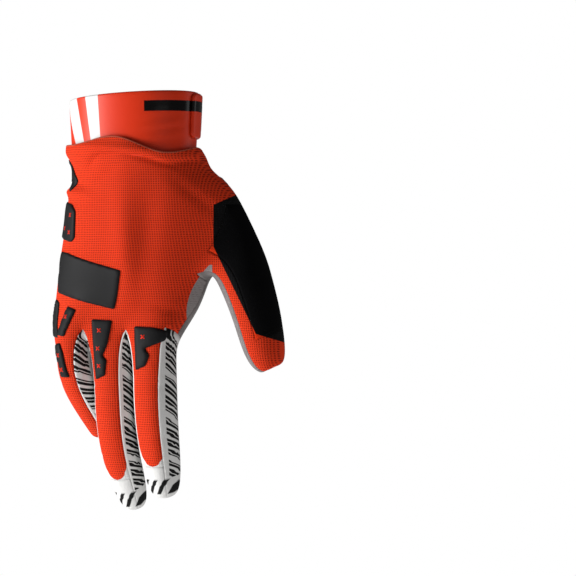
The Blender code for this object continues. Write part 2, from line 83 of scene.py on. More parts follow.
@dataclass(frozen=True)
class Finish:
    """How a material looks.

    Args:
        name: Name of the material.
        slot: Material slot of the record that it belongs to; not used.
        colour: Base colour as sRGB hex.
        second: Colour of its print, stripes or fibres, as sRGB hex; on a knit, the painted shade in the gaps between
            its stitches.
        roughness: Roughness of the surface.
        weave: Fine relief.
        grain_mm: Size of one stitch, fibre or pore.
        relief_mm: Height of that relief.
        sheen: Weight of the soft sheen of its fibres.
    """

    name: str
    slot: str
    colour: str
    second: str
    roughness: float
    weave: Weave
    grain_mm: float
    relief_mm: float
    sheen: float = 0.0


# On a knit the second colour is painted shade in the gaps between the stitches.
KNIT = Finish("red_knit", "knit_red", "#DC3815", "#400604", 0.85, Weave.KNIT, 1.3, 0.35)
SUEDE = Finish("grey_suede", "suede_grey", "#8A8483", "#605B5A", 0.92, Weave.SUEDE, 0.7, 0.25, 0.20)
MESH = Finish("white_mesh", "mesh_white", "#D9D8D6", "#0C0C0C", 0.75, Weave.MESH, 1.2, 0.20)
TERRY = Finish("black_terry", "wipe_black", "#050506", "#0B0B0C", 0.97, Weave.TERRY, 0.8, 0.40)
RUBBER = Finish("black_rubber", "rubber_black", "#161617", "#161617", 0.60, Weave.RUBBER, 0.6, 0.03)
CUFF_SKIN = Finish("red_neoprene", "neoprene_red", "#DA3310", "#D6D6D4", 0.40, Weave.NEOPRENE, 1.2, 0.04)
PIPING = Finish("rim_piping", "knit_red", "#B8553F", "#8E1710", 0.80, Weave.KNIT, 0.9, 0.15)
CROSSES = Finish("red_crosses", "knit_red", "#E0301A", "#8E1710", 0.80, Weave.KNIT, 0.6, 0.05)


@dataclass(frozen=True)
class GloveSize:
    """Driving sizes of the glove, in millimetres."""

    hand_length: float = 146.0
    palm_width: float = 82.0
    hand_depth: float = 40.0
    finger_width: float = 24.0
    finger_depth: float = 21.0
    thumb_width: float = 28.0
    thumb_depth: float = 25.0
    cloth_wall: float = 1.2
    seam: float = 0.12


@dataclass(frozen=True)
class Section:
    """One section of the hand, as shares: z of the length, x of the width, y of the depth."""

    z_back: float
    z_palm: float
    left_x: float
    left_y: float
    right_x: float
    right_y: float
    back: float
    back_peak: float
    back_power: float
    palm: float
    palm_peak: float
    palm_power: float


@dataclass(frozen=True)
class Finger:
    """One finger: the base of its middle line as shares, length in mm, girths as shares and turns in degrees."""

    name: str
    base_x: float
    base_y: float
    base_z: float
    length: float
    width: float
    depth: float
    roll: float
    curl: float
    splay: float
    lean: float
    flex: float
    bend_at: float
    thumb_seam: float = 45.0


@dataclass(frozen=True)
class Fold:
    """A fold of the cloth in the plane that the photo looks at, in mm and degrees. A negative depth is a ridge."""

    name: str
    along: float
    down: float
    angle: float
    length: float
    width: float
    depth: float


@dataclass(frozen=True)
class Patch:
    """A moulded patch, outlined in the plane that faces out at a turn, in shares of the width and the length."""

    name: str
    facing: float
    rise: float
    round: float
    outline: tuple[tuple[float, float], ...]
    crosses: tuple[tuple[float, float], ...] = ()


# Shares across the hand, from the little finger's edge (-1) to the thumb's edge (1)
ACROSS = (-0.94, -0.787, -0.575, -0.34, -0.106, 0.157, 0.419, 0.71, 0.94)
SECTIONS = (
    Section(-0.190, -0.240, -0.514, 0.00, 0.519, 0.03, 0.738, 0.00, 2.0, 0.735, 0.00, 2.0),
    Section(-0.228, -0.275, -0.534, 0.00, 0.545, 0.10, 0.790, 0.00, 2.0, 0.760, 0.00, 2.0),
    Section(-0.278, -0.310, -0.462, 0.02, 0.545, 0.18, 0.700, 0.05, 2.0, 0.660, 0.00, 2.0),
    Section(-0.350, -0.360, -0.490, 0.04, 0.655, 0.34, 0.760, 0.08, 1.9, 0.500, 0.20, 2.0),
    Section(-0.415, -0.420, -0.548, 0.05, 0.730, 0.44, 0.800, 0.10, 1.8, 0.400, 0.40, 2.0),
    Section(-0.510, -0.510, -0.560, 0.07, 0.690, 0.50, 0.840, 0.10, 1.8, 0.320, 0.50, 2.0),
    Section(-0.610, -0.620, -0.602, 0.09, 0.605, 0.47, 0.800, 0.12, 1.9, 0.280, 0.50, 2.0),
    Section(-0.708, -0.735, -0.632, 0.13, 0.508, 0.36, 0.710, 0.10, 2.1, 0.240, 0.40, 2.2),
    Section(-0.802, -0.860, -0.660, 0.15, 0.455, 0.32, 0.570, 0.00, 2.4, 0.210, 0.20, 2.4),
)
# How far the knit's rim waves up over the cuff, in mm, from the little finger's side to the thumb's
RIM_WAVE = (-3.0, -3.1, -3.1, -1.3, 1.4, 2.2, -2.6, -8.6, -6.5)
RIM_WAVE_FADE = (1.0, 0.7, 0.25)  # share of the wave that each of the first sections takes
PALM_COLUMNS = range(11, 19)  # columns of a hand's ring that belong to the palm
THUMB_COLUMNS = (9, 10)
THUMB_ROWS = (4, 7)
THUMB_CORNERS = 4 + 2 * (THUMB_ROWS[1] - THUMB_ROWS[0])
FINGERS = (
    Finger("pinky", -0.610, 0.210, -0.945, 66.0, 0.80, 0.84, 38.0, 20.0, 4.0, 10.0, 44.0, 0.30),
    Finger("ring", -0.442, -0.225, -0.950, 84.0, 0.83, 0.92, 18.0, 4.0, 0.5, 0.0, 44.0, 0.24),
    Finger("middle", -0.162, -0.050, -0.950, 105.0, 0.99, 1.02, 4.0, 4.0, 0.0, 4.0, 23.0, 0.58),
    Finger("index", 0.156, 0.030, -0.950, 95.0, 1.08, 1.06, 0.0, 0.0, 0.0, 2.0, 12.0, 0.50, 60.0),
)
WEB_BACK = -0.905
WEB_PALM = -0.985
WEB_SAG = 0.50
FINGER_RINGS = ((0.16, 0.98), (0.33, 1.00), (0.50, 0.98), (0.64, 0.94), (0.77, 0.88), (0.91, 0.75), (0.98, 0.50))
BACK_RINGS = 5
BEND_SPREAD = 0.30
BEND_STEP = 0.01
SEAM_SETTLES = 0.3  # share of a finger after which the seam next to the thumb is at its turn
# Middle as shares of the width, the depth and the length, and girth
THUMB_RINGS = (
    (0.706, 0.500, -0.665, 1.17),
    (0.774, 0.520, -0.765, 1.08),
    (0.828, 0.560, -0.865, 1.02),
    (0.862, 0.600, -0.960, 0.96),
    (0.898, 0.630, -1.040, 0.81),
    (0.932, 0.650, -1.082, 0.50),
)
THUMB_ROLL = -30.0
THUMB_TILT = 24.0
THUMB_FULLNESS = 1.04
THUMB_END = 0.10
WIPE_RINGS = 4
FINGER_FULLNESS = 1.08
SQUARENESS = 1.06
SKIN_LEVELS = 3

VIEW_TURN = 30.0  # the photo looks at the glove from this azimuth
# A fold takes this clipped share of its depth where the skin turns away: normal . out * fade + reach
FOLD_FADE = 3.0
FOLD_REACH = 0.6
FOLDS = (
    # name, along, down, angle, length, width, depth
    Fold("roll", -8.0, -32.6, -4.0, 30.0, 2.4, -1.6),
    Fold("roll_crease_left", -15.0, -36.4, 8.0, 8.0, 1.3, 1.5),
    Fold("roll_crease_right", 6.0, -38.6, -14.0, 14.0, 1.5, 1.7),
    Fold("roll_crease_end", 26.0, -41.0, 6.0, 10.0, 1.6, 1.1),
    Fold("arch", -24.0, -41.0, 48.0, 6.0, 1.4, 1.2),
    Fold("under_arch", -14.0, -46.0, 30.0, 9.0, 2.0, 0.6),
    Fold("side_crease_upper", -34.0, -51.0, -20.0, 9.0, 2.2, 0.8),
    Fold("side_bulge", -36.0, -57.0, -8.0, 8.0, 2.6, -2.2),
    Fold("side_crease_lower", -34.0, -63.0, 14.0, 8.0, 2.0, 0.5),
    Fold("ridge", -5.0, -84.0, 92.0, 36.0, 7.0, -2.0),
    Fold("valley", 8.0, -78.0, 84.0, 30.0, 7.0, 1.2),
    Fold("thumb_pull", 38.0, -62.0, -38.0, 16.0, 3.0, 0.9),
    Fold("index_knuckle", 19.0, -124.0, -12.0, 11.0, 1.8, 0.8),
    Fold("index_joint_a", 11.0, -161.5, 8.0, 9.0, 1.4, 0.6),
    Fold("index_joint_b", 13.0, -167.0, -6.0, 9.0, 1.4, 0.6),
    Fold("index_joint_c", 14.0, -197.0, 10.0, 8.0, 1.2, 0.5),
    Fold("middle_joint_a", -18.5, -167.0, 8.0, 6.0, 1.4, 0.6),
    Fold("middle_joint_b", -17.0, -174.0, -8.0, 6.0, 1.4, 0.6),
    Fold("middle_joint_c", -11.0, -206.0, 12.0, 6.0, 1.2, 0.5),
    Fold("ring_joint_a", -36.0, -164.0, 14.0, 6.0, 1.4, 0.6),
    Fold("thumb_joint_a", 66.0, -110.0, 20.0, 8.0, 1.6, 0.5),
    Fold("thumb_joint_b", 74.0, -136.0, 14.0, 8.0, 1.6, 0.6),
)

PAD_RISE = 1.1
LABEL_RISE = 0.6
PATCHES = (
    Patch("pad_hand_upper", 45.0, PAD_RISE, 2.0, (
        (-0.345, -0.262), (-0.245, -0.262), (-0.115, -0.342), (-0.165, -0.393), (-0.240, -0.352), (-0.345, -0.352),
    )),
    Patch("pad_hand_lower", 45.0, PAD_RISE, 1.6, (
        (-0.360, -0.425), (-0.185, -0.437), (-0.120, -0.462), (-0.112, -0.570), (-0.150, -0.586), (-0.390, -0.565),
    ), ((0.78, 0.34), (0.48, 0.66), (0.78, 0.76))),
    Patch("pad_knuckles", 15.0, PAD_RISE, 1.0, (
        (-0.480, -0.622), (-0.380, -0.628), (0.091, -0.697), (-0.022, -0.848), (-0.520, -0.782),
    )),
    Patch("pad_index", -25.0, PAD_RISE, 1.2, (
        (0.020, -0.914), (0.152, -0.918), (0.256, -0.932), (0.238, -0.969), (0.095, -1.000), (0.130, -1.027),
        (0.100, -1.068), (0.028, -1.085),
    ), ((0.28, 0.24),)),
    Patch("pad_middle", 5.0, PAD_RISE, 1.2, (
        (-0.225, -0.887), (-0.073, -0.891), (-0.115, -0.983), (-0.155, -1.030), (-0.125, -1.045), (-0.142, -1.106),
        (-0.225, -1.123), (-0.232, -1.065), (-0.228, -1.000),
    ), ((0.40, 0.18), (0.30, 0.48), (0.31, 0.77))),
    Patch("pad_ring_upper", 20.0, PAD_RISE, 1.0, (
        (-0.372, -0.836), (-0.274, -0.850), (-0.348, -0.955), (-0.432, -0.950),
    ), ((0.52, 0.36),)),
    Patch("pad_ring_lower", 20.0, PAD_RISE, 1.0, (
        (-0.384, -0.980), (-0.354, -1.020), (-0.335, -1.113), (-0.420, -1.113), (-0.412, -1.065), (-0.470, -0.985),
    ), ((0.55, 0.36), (0.66, 0.78))),
    Patch("pad_pinky", 40.0, PAD_RISE, 1.0, (
        (-0.420, -0.808), (-0.366, -0.822), (-0.440, -0.962), (-0.545, -0.957), (-0.500, -0.870),
    )),
    Patch("palm_label", 197.0, LABEL_RISE, 1.2, (
        (-0.530, -0.463), (-0.350, -0.440), (-0.340, -0.318), (-0.510, -0.336),
    )),
)
CROSS_REACH = 1.5  # mm from the middle of a cross to the end of an arm
CROSS_WIDTH = 0.7
CROSS_RISE = 0.2
PATCH_GAP = 0.05  # mm between a patch and the skin
EDGE_FOOT = 0.35  # share of a plate's rise that stands upright at its edge
CELL_MERGE = 1.0 / 12.0  # points nearer than this share of a cell are one
ARC_SHARE = 0.45  # most of a side that one rounded corner takes


def linear(colour: str) -> tuple[float, float, float, float]:
    """The linear colour of an sRGB hex such as #E2401F.

    Args:
        colour: The hex.

    Returns:
        Red, green, blue and an alpha of 1.
    """
    parts = np.array([int(colour[place : place + 2], 16) for place in (1, 3, 5)]) / 255.0
    light = np.where(parts <= 0.04045, parts / 12.92, ((parts + 0.055) / 1.055) ** 2.4)
    return (*light.tolist(), 1.0)


def facing_axes(facing: float) -> tuple[np.ndarray, np.ndarray]:
    """The outward and the sideways direction of a plane that faces out at a turn.

    Args:
        facing: Degrees round from the back to the little finger's side.

    Returns:
        Out = (-sin, -cos, 0) and along = (cos, -sin, 0) of that turn.
    """
    turn = np.radians(facing)
    return np.array([-np.sin(turn), -np.cos(turn), 0.0]), np.array([np.cos(turn), -np.sin(turn), 0.0])


def turned(vector: np.ndarray, axis: np.ndarray, degrees: float) -> np.ndarray:
    """The vector turned round a unit axis by Rodrigues' formula.

    Args:
        vector: What turns.
        axis: Unit axis.
        degrees: How far.

    Returns:
        v cos a + (k x v) sin a + k (k . v)(1 - cos a).
    """
    angle = np.radians(degrees)
    return (
        vector * np.cos(angle)
        + np.cross(axis, vector) * np.sin(angle)
        + axis * np.dot(axis, vector) * (1.0 - np.cos(angle))
    )


def add_mesh(name: str, points: np.ndarray, faces: Sequence[Sequence[int]], finish: Finish) -> bpy.types.Object:
    """One smooth-shaded closed mesh on the frame's root body.

    Args:
        name: Name of the piece.
        points: (n, 3) array in metres.
        faces: Corner indices of each face.
        finish: How it looks.

    Returns:
        The new object.
    """
    mesh = bpy.data.meshes.new(name)
    mesh.from_pydata(np.asarray(points).tolist(), [], [list(map(int, face)) for face in faces])
    solid = bmesh.new()
    solid.from_mesh(mesh)
    bmesh.ops.recalc_face_normals(solid, faces=solid.faces)
    solid.to_mesh(mesh)
    solid.free()
    mesh.shade_smooth()
    mesh.materials.append(material(finish))
    piece = bpy.data.objects.new(name, mesh)
    bpy.context.scene.collection.objects.link(piece)
    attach(piece, "root")
    LOG.info("%s: %d faces", name, len(mesh.polygons))
    return piece


# Materials

# The print on the white mesh: periods and the band in mm, shares of a period, and mm of slant for each mm out
BAR_PERIOD = 6.0
BAR_SHARE = 0.74
SLIT_SHARE = 0.12
BAR_SLANT = 0.7
GROUP_PERIOD = 24.0
GROUP_SHARE = 0.86
BAND_MIDDLE = 0.8
BAND_HALF = 5.0
# The bars round a fingertip, as shares of a period and of the finger's length
TIP_SHARE = 0.5
TIP_MIDDLE = 0.90
TIP_HALF = 0.055
# The round end of the red on a finger, as shares of its length, and its half width in mm
END_START = 0.62
END_STOP = 0.765
END_HALF = 8.6
# The wipe's edges in the plane of the photo, in mm
WIPE_LEFT = 45.4
WIPE_BEND = -88.3
WIPE_SLOPE = 0.486
WIPE_END = -117.0
WIPE_END_SLOPE = 0.30
WIPE_TOP = -85.3
WIPE_TOP_SLOPE = 0.456
# The suede's edge at the crotch of the thumb in that plane, in mm
CROTCH_LEFT = 30.0
CROTCH_FOOT = -126.0
CROTCH_BEND = 0.0175
CROTCH_TOP = -98.5
CROTCH_RIGHT = 45.0
BORDER_SOFT = 0.3  # mm over which one colour turns into another
# The cloths
GAP_PAINTED_SHADE = 0.85  # how dark the painted shade in the gaps between the stitches is
HOLE_MEAN = 0.25  # mean of the product of two waves between 0 and 1
STITCH_WANDER = 1.4
WAVE_TURN = 2.0 * np.pi / 20.0  # a wave texture of this scale repeats once a unit
CLOUD_GRAINS = 14.0  # grains to one soft cloud of colour
BUMP_STRENGTH = 0.6
STRIP_ROUGHNESS = 0.18
SPECULAR = {
    Weave.KNIT: 0.12,
    Weave.SUEDE: 0.10,
    Weave.MESH: 0.15,
    Weave.TERRY: 0.05,
    Weave.RUBBER: 0.14,
    Weave.NEOPRENE: 0.22,
}
MADE: dict[str, bpy.types.Material] = {}


class Nodes:
    """A node tree that grows one node at a time."""

    def __init__(self, name: str) -> None:
        self.material = bpy.data.materials.new(name)
        self.material.use_nodes = True
        self.tree = self.material.node_tree
        self.shader = self.tree.nodes["Principled BSDF"]

    def add(self, kind: str, settings: Optional[dict] = None, **sockets):
        """Adds a node with its settings, and a value or a link for each named socket.

        Args:
            kind: Name of the node's class, without ShaderNode.
            settings: The node's own properties.
            **sockets: Socket names, with _ for a blank or in_0 for a place, and a value or an output socket.

        Returns:
            The node.
        """
        node = self.tree.nodes.new("ShaderNode" + kind)
        for key, value in (settings or {}).items():
            setattr(node, key, value)
        for key, value in sockets.items():
            socket = node.inputs[int(key[3:])] if key.startswith("in_") else node.inputs[key.replace("_", " ")]
            if isinstance(value, bpy.types.NodeSocket):
                self.tree.links.new(value, socket)
            else:
                socket.default_value = value
        return node

    def math(self, operation: str, *values):
        """The output of a Math node on up to three values or sockets."""
        sockets = {f"in_{at}": value for at, value in enumerate(values)}
        return self.add("Math", {"operation": operation}, **sockets).outputs[0]

    def mix(self, factor, first, second):
        """The colour output of a colour Mix node."""
        node = self.add("Mix", {"data_type": "RGBA"}, in_0=factor, in_6=first, in_7=second)
        return node.outputs[2]

    def within(self, value, middle, half, soft: float = 0.02):
        """A mask that is 1 where value is within half of middle, with a soft edge."""
        away = self.math("ABSOLUTE", self.math("SUBTRACT", value, middle))
        edge = self.math("DIVIDE", self.math("SUBTRACT", half, away), soft)
        return self.math("MINIMUM", self.math("MAXIMUM", edge, 0.0), 1.0)


@dataclass(frozen=True)
class Stripe:
    """A band on the cuff: its middle turn and half its width in degrees, at its top and at its bottom edge."""

    top: float
    bottom: float
    half_top: float
    half_bottom: float


STRIPES = (Stripe(-54.0, -35.0, 15.0, 7.0), Stripe(-18.4, -14.3, 7.6, 5.4))
STRIP_TURNS = (31.5, 124.0)  # the bare black strip on the cuff, in degrees round from the back
STRIP_DROP = (5.4, 11.8)  # its top and bottom edge below the rim, in mm
STRIP_COLOUR = "#0C0B0B"
LINING_COLOUR = "#232325"
LINING_DROP = 4.0  # what the cuff's UV adds to the drop on its lining


def cuff_colour(nodes: Nodes, finish: Finish):
    """White slanted stripes and a bare black strip, from UV: turn / 360 degrees, and drop / cuff height.

    Args:
        nodes: The material's nodes.
        finish: The cuff's finish.

    Returns:
        The socket of the colour, and that of the strip's mask.
    """
    place = nodes.add("SeparateXYZ", Vector=nodes.add("UVMap", {"uv_map": "wrap"}).outputs[0])
    turn = nodes.math("MULTIPLY", place.outputs[0], 360.0)
    drop = place.outputs[1]
    colour = linear(finish.colour)
    for stripe in STRIPES:
        middle = nodes.math("MULTIPLY_ADD", drop, stripe.bottom - stripe.top, stripe.top)
        half = nodes.math("MULTIPLY_ADD", drop, stripe.half_bottom - stripe.half_top, stripe.half_top)
        colour = nodes.mix(nodes.within(turn, middle, half, 0.4), colour, linear(finish.second))
    start, end = STRIP_TURNS
    top, bottom = (edge / CUFF.height for edge in STRIP_DROP)
    strip = nodes.math(
        "MULTIPLY",
        nodes.within(turn, (start + end) / 2.0, (end - start) / 2.0, 0.6),
        nodes.within(drop, (top + bottom) / 2.0, (bottom - top) / 2.0, 0.01),
    )
    colour = nodes.mix(strip, colour, linear(STRIP_COLOUR))
    lining = nodes.math("GREATER_THAN", drop, LINING_DROP / 2.0)
    return nodes.mix(lining, colour, linear(LINING_COLOUR)), strip


def ramp(nodes: Nodes, value, soft: float):
    """A mask from value / soft, held between 0 and 1.

    Args:
        nodes: The material's nodes.
        value: The socket of the value.
        soft: The value at which the mask is 1.

    Returns:
        The socket of the mask.
    """
    return nodes.math("MINIMUM", nodes.math("MAXIMUM", nodes.math("DIVIDE", value, soft), 0.0), 1.0)


def print_colour(nodes: Nodes, finish: Finish):
    """Plain slanted bars in groups along the sides of the fingers: bars of run + slant * out, a gap after each group.

    Args:
        nodes: The material's nodes.
        finish: The mesh's finish.

    Returns:
        The socket of the colour.
    """
    place = nodes.add("SeparateXYZ", Vector=nodes.add("Attribute", {"attribute_name": "finger"}).outputs["Vector"])
    run, beside, out = place.outputs
    slant = nodes.math("MULTIPLY_ADD", out, BAR_SLANT, run)
    phase = nodes.math("FRACT", nodes.math("DIVIDE", slant, BAR_PERIOD))
    bar = nodes.math(
        "SUBTRACT", nodes.within(phase, 0.5, BAR_SHARE / 2.0, 0.05), nodes.within(phase, 0.5, SLIT_SHARE / 2.0, 0.03)
    )
    group = nodes.within(nodes.math("FRACT", nodes.math("DIVIDE", slant, GROUP_PERIOD)), 0.5, GROUP_SHARE / 2.0, 0.01)
    band = nodes.within(out, BAND_MIDDLE, BAND_HALF, BORDER_SOFT)
    side_ink = nodes.math("MULTIPLY", nodes.math("MULTIPLY", bar, group), band)
    at = nodes.math("DIVIDE", run, nodes.add("Attribute", {"attribute_name": "finger_length"}).outputs["Fac"])
    across = nodes.math("FRACT", nodes.math("DIVIDE", nodes.math("MULTIPLY_ADD", run, BAR_SLANT, beside), BAR_PERIOD))
    tip_ink = nodes.math(
        "MULTIPLY", nodes.within(across, 0.5, TIP_SHARE / 2.0, 0.06), nodes.within(at, TIP_MIDDLE, TIP_HALF, 0.01)
    )
    side_ink = nodes.math("MULTIPLY", side_ink, nodes.math("LESS_THAN", at, TIP_MIDDLE - TIP_HALF))
    ink = nodes.math("MAXIMUM", side_ink, tip_ink)
    return nodes.mix(ink, linear(finish.colour), linear(finish.second))


def finger_end(nodes: Nodes):
    """A mask of the white past the red's round end: |beside| > half * sqrt(1 - ((run - start) / (end - start))^2).

    Args:
        nodes: The material's nodes.

    Returns:
        The socket of the mask.
    """
    place = nodes.add("SeparateXYZ", Vector=nodes.add("Attribute", {"attribute_name": "finger"}).outputs["Vector"])
    length = nodes.add("Attribute", {"attribute_name": "finger_length"}).outputs["Fac"]
    at = nodes.math("DIVIDE", place.outputs[0], length)
    past = ramp(nodes, nodes.math("SUBTRACT", at, END_START), END_STOP - END_START)
    round_end = nodes.math("SQRT", nodes.math("SUBTRACT", 1.0, nodes.math("MULTIPLY", past, past)))
    half = nodes.math("MULTIPLY", round_end, END_HALF)
    reach = nodes.math("SUBTRACT", nodes.math("ABSOLUTE", place.outputs[1]), half)
    on_finger = nodes.math("GREATER_THAN", at, END_START)
    return nodes.math("MULTIPLY", ramp(nodes, reach, BORDER_SOFT), on_finger)


def photo_plane(nodes: Nodes, place):
    """The sockets of along = x cos t + y sin t and down = z in mm, in the plane that the photo looks at.

    Args:
        nodes: The material's nodes.
        place: Output of the object coordinates.

    Returns:
        Both sockets.
    """
    axes = nodes.add("SeparateXYZ", Vector=place)
    across = nodes.math("MULTIPLY", axes.outputs[0], float(np.cos(np.radians(VIEW_TURN))) / MM)
    along = nodes.math("MULTIPLY_ADD", axes.outputs[1], float(np.sin(np.radians(VIEW_TURN))) / MM, across)
    return along, nodes.math("DIVIDE", axes.outputs[2], MM)


def wipe_mask(nodes: Nodes, place):
    """A mask of the wipe in the plane of the photo: right of its left edge, above its end and below its top.

    Args:
        nodes: The material's nodes.
        place: Output of the object coordinates.

    Returns:
        The socket of the mask.
    """
    along, down = photo_plane(nodes, place)
    lower = nodes.math("MAXIMUM", nodes.math("SUBTRACT", WIPE_BEND, down), 0.0)
    left = nodes.math("SUBTRACT", along, nodes.math("MULTIPLY_ADD", lower, WIPE_SLOPE, WIPE_LEFT))
    end = nodes.math("SUBTRACT", down, nodes.math("MULTIPLY_ADD", along, -WIPE_END_SLOPE, WIPE_END))
    top = nodes.math("SUBTRACT", nodes.math("MULTIPLY_ADD", along, WIPE_TOP_SLOPE, WIPE_TOP), down)
    inside = nodes.math("MINIMUM", nodes.math("MINIMUM", left, end), top)
    return ramp(nodes, inside, BORDER_SOFT)


def crotch_mask(nodes: Nodes, place):
    """A mask of the suede that shows round the crotch: along > left + bend * (down - foot)^2, below its top.

    Args:
        nodes: The material's nodes.
        place: Output of the object coordinates.

    Returns:
        The socket of the mask.
    """
    along, down = photo_plane(nodes, place)
    rise = nodes.math("SUBTRACT", down, CROTCH_FOOT)
    edge = nodes.math("MULTIPLY_ADD", nodes.math("MULTIPLY", rise, rise), CROTCH_BEND, CROTCH_LEFT)
    inside = nodes.math("MINIMUM", nodes.math("SUBTRACT", along, edge), nodes.math("SUBTRACT", CROTCH_TOP, down))
    inside = nodes.math("MINIMUM", inside, nodes.math("SUBTRACT", CROTCH_RIGHT, along))
    return ramp(nodes, inside, BORDER_SOFT)


def knit_look(nodes: Nodes, finish: Finish, place, scale: float):
    """Rows of stitches with painted shade in the gaps between them: a gap is a wave down the glove times a wave across
    it.

    Args:
        nodes: The material's nodes.
        finish: The knit's finish.
        place: Output of the object coordinates.
        scale: Stitches to a metre.

    Returns:
        The sockets of the colour and of the relief.
    """
    sockets = {"Vector": place, "Scale": scale * WAVE_TURN, "Distortion": STITCH_WANDER}
    courses, wales = (nodes.add("TexWave", {"bands_direction": way}, **sockets).outputs[1] for way in ("Z", "X"))
    hole = nodes.math("MULTIPLY", courses, wales)
    # the gaps turn towards the dark second colour: painted shade
    colour = nodes.mix(nodes.math("MULTIPLY", hole, GAP_PAINTED_SHADE), linear(finish.colour), linear(finish.second))
    if finish is KNIT:
        colour = nodes.mix(finger_end(nodes), colour, linear(MESH.colour))
        colour = nodes.mix(wipe_mask(nodes, place), colour, linear(TERRY.colour))
        colour = nodes.mix(crotch_mask(nodes, place), colour, linear(SUEDE.colour))
    return colour, nodes.math("SUBTRACT", 1.0, hole)


def material(finish: Finish) -> bpy.types.Material:
    """The finish as a procedural material, made once.

    Args:
        finish: How it looks.

    Returns:
        The material.
    """
    if finish.name in MADE:
        return MADE[finish.name]
    nodes = Nodes(finish.name)
    place = nodes.add("TexCoord").outputs["Object"]
    scale = 1.0 / (finish.grain_mm * MM)
    roughness = finish.roughness
    if finish.weave is Weave.KNIT:
        colour, relief = knit_look(nodes, finish, place, scale)
    elif finish.weave is Weave.MESH:
        colour = print_colour(nodes, finish)
        relief = nodes.add("TexVoronoi", Vector=place, Scale=scale).outputs[0]
    else:
        colour = linear(finish.colour)
        relief = nodes.add("TexNoise", Vector=place, Scale=scale, Detail=3.0, Roughness=0.6).outputs[0]
    if finish.weave in (Weave.SUEDE, Weave.TERRY):
        clouds = nodes.add("TexNoise", Vector=place, Scale=scale / CLOUD_GRAINS, Detail=2.0).outputs[0]
        colour = nodes.mix(clouds, colour, linear(finish.second))
    if finish is TERRY:
        # outside the wipe: the knit's mean colour, with the painted shade of its stitch gaps
        knit = nodes.mix(GAP_PAINTED_SHADE * HOLE_MEAN, linear(KNIT.colour), linear(KNIT.second))
        colour = nodes.mix(wipe_mask(nodes, place), knit, colour)
    if finish.weave is Weave.NEOPRENE:
        colour, strip = cuff_colour(nodes, finish)
        roughness = nodes.math("MULTIPLY_ADD", strip, STRIP_ROUGHNESS - finish.roughness, finish.roughness)
    shader = nodes.shader
    for socket, value in (("Base Color", colour), ("Roughness", roughness)):
        if isinstance(value, bpy.types.NodeSocket):
            nodes.tree.links.new(value, shader.inputs[socket])
        else:
            shader.inputs[socket].default_value = value
    shader.inputs["Sheen Weight"].default_value = finish.sheen
    shader.inputs["Specular IOR Level"].default_value = SPECULAR[finish.weave]
    bump = nodes.add("Bump", Height=relief, Strength=BUMP_STRENGTH, Distance=finish.relief_mm * MM)
    nodes.tree.links.new(bump.outputs[0], shader.inputs["Normal"])
    MADE[finish.name] = nodes.material
    return nodes.material


# The skin


def bulge(across: np.ndarray, peak: float, power: float) -> np.ndarray:
    """A curve (1 - (|a - peak| / reach)^power)^(1 / power) that is 1 at its peak and 0 at both edges.

    Args:
        across: Shares from -1 to 1.
        peak: Share at which it is 1.
        power: 2 for an ellipse, more for a squarer form.

    Returns:
        Its height at each share.
    """
    reach = np.where(across > peak, 1.0 - peak, 1.0 + peak)
    return (1.0 - np.abs((across - peak) / reach) ** power) ** (1.0 / power)


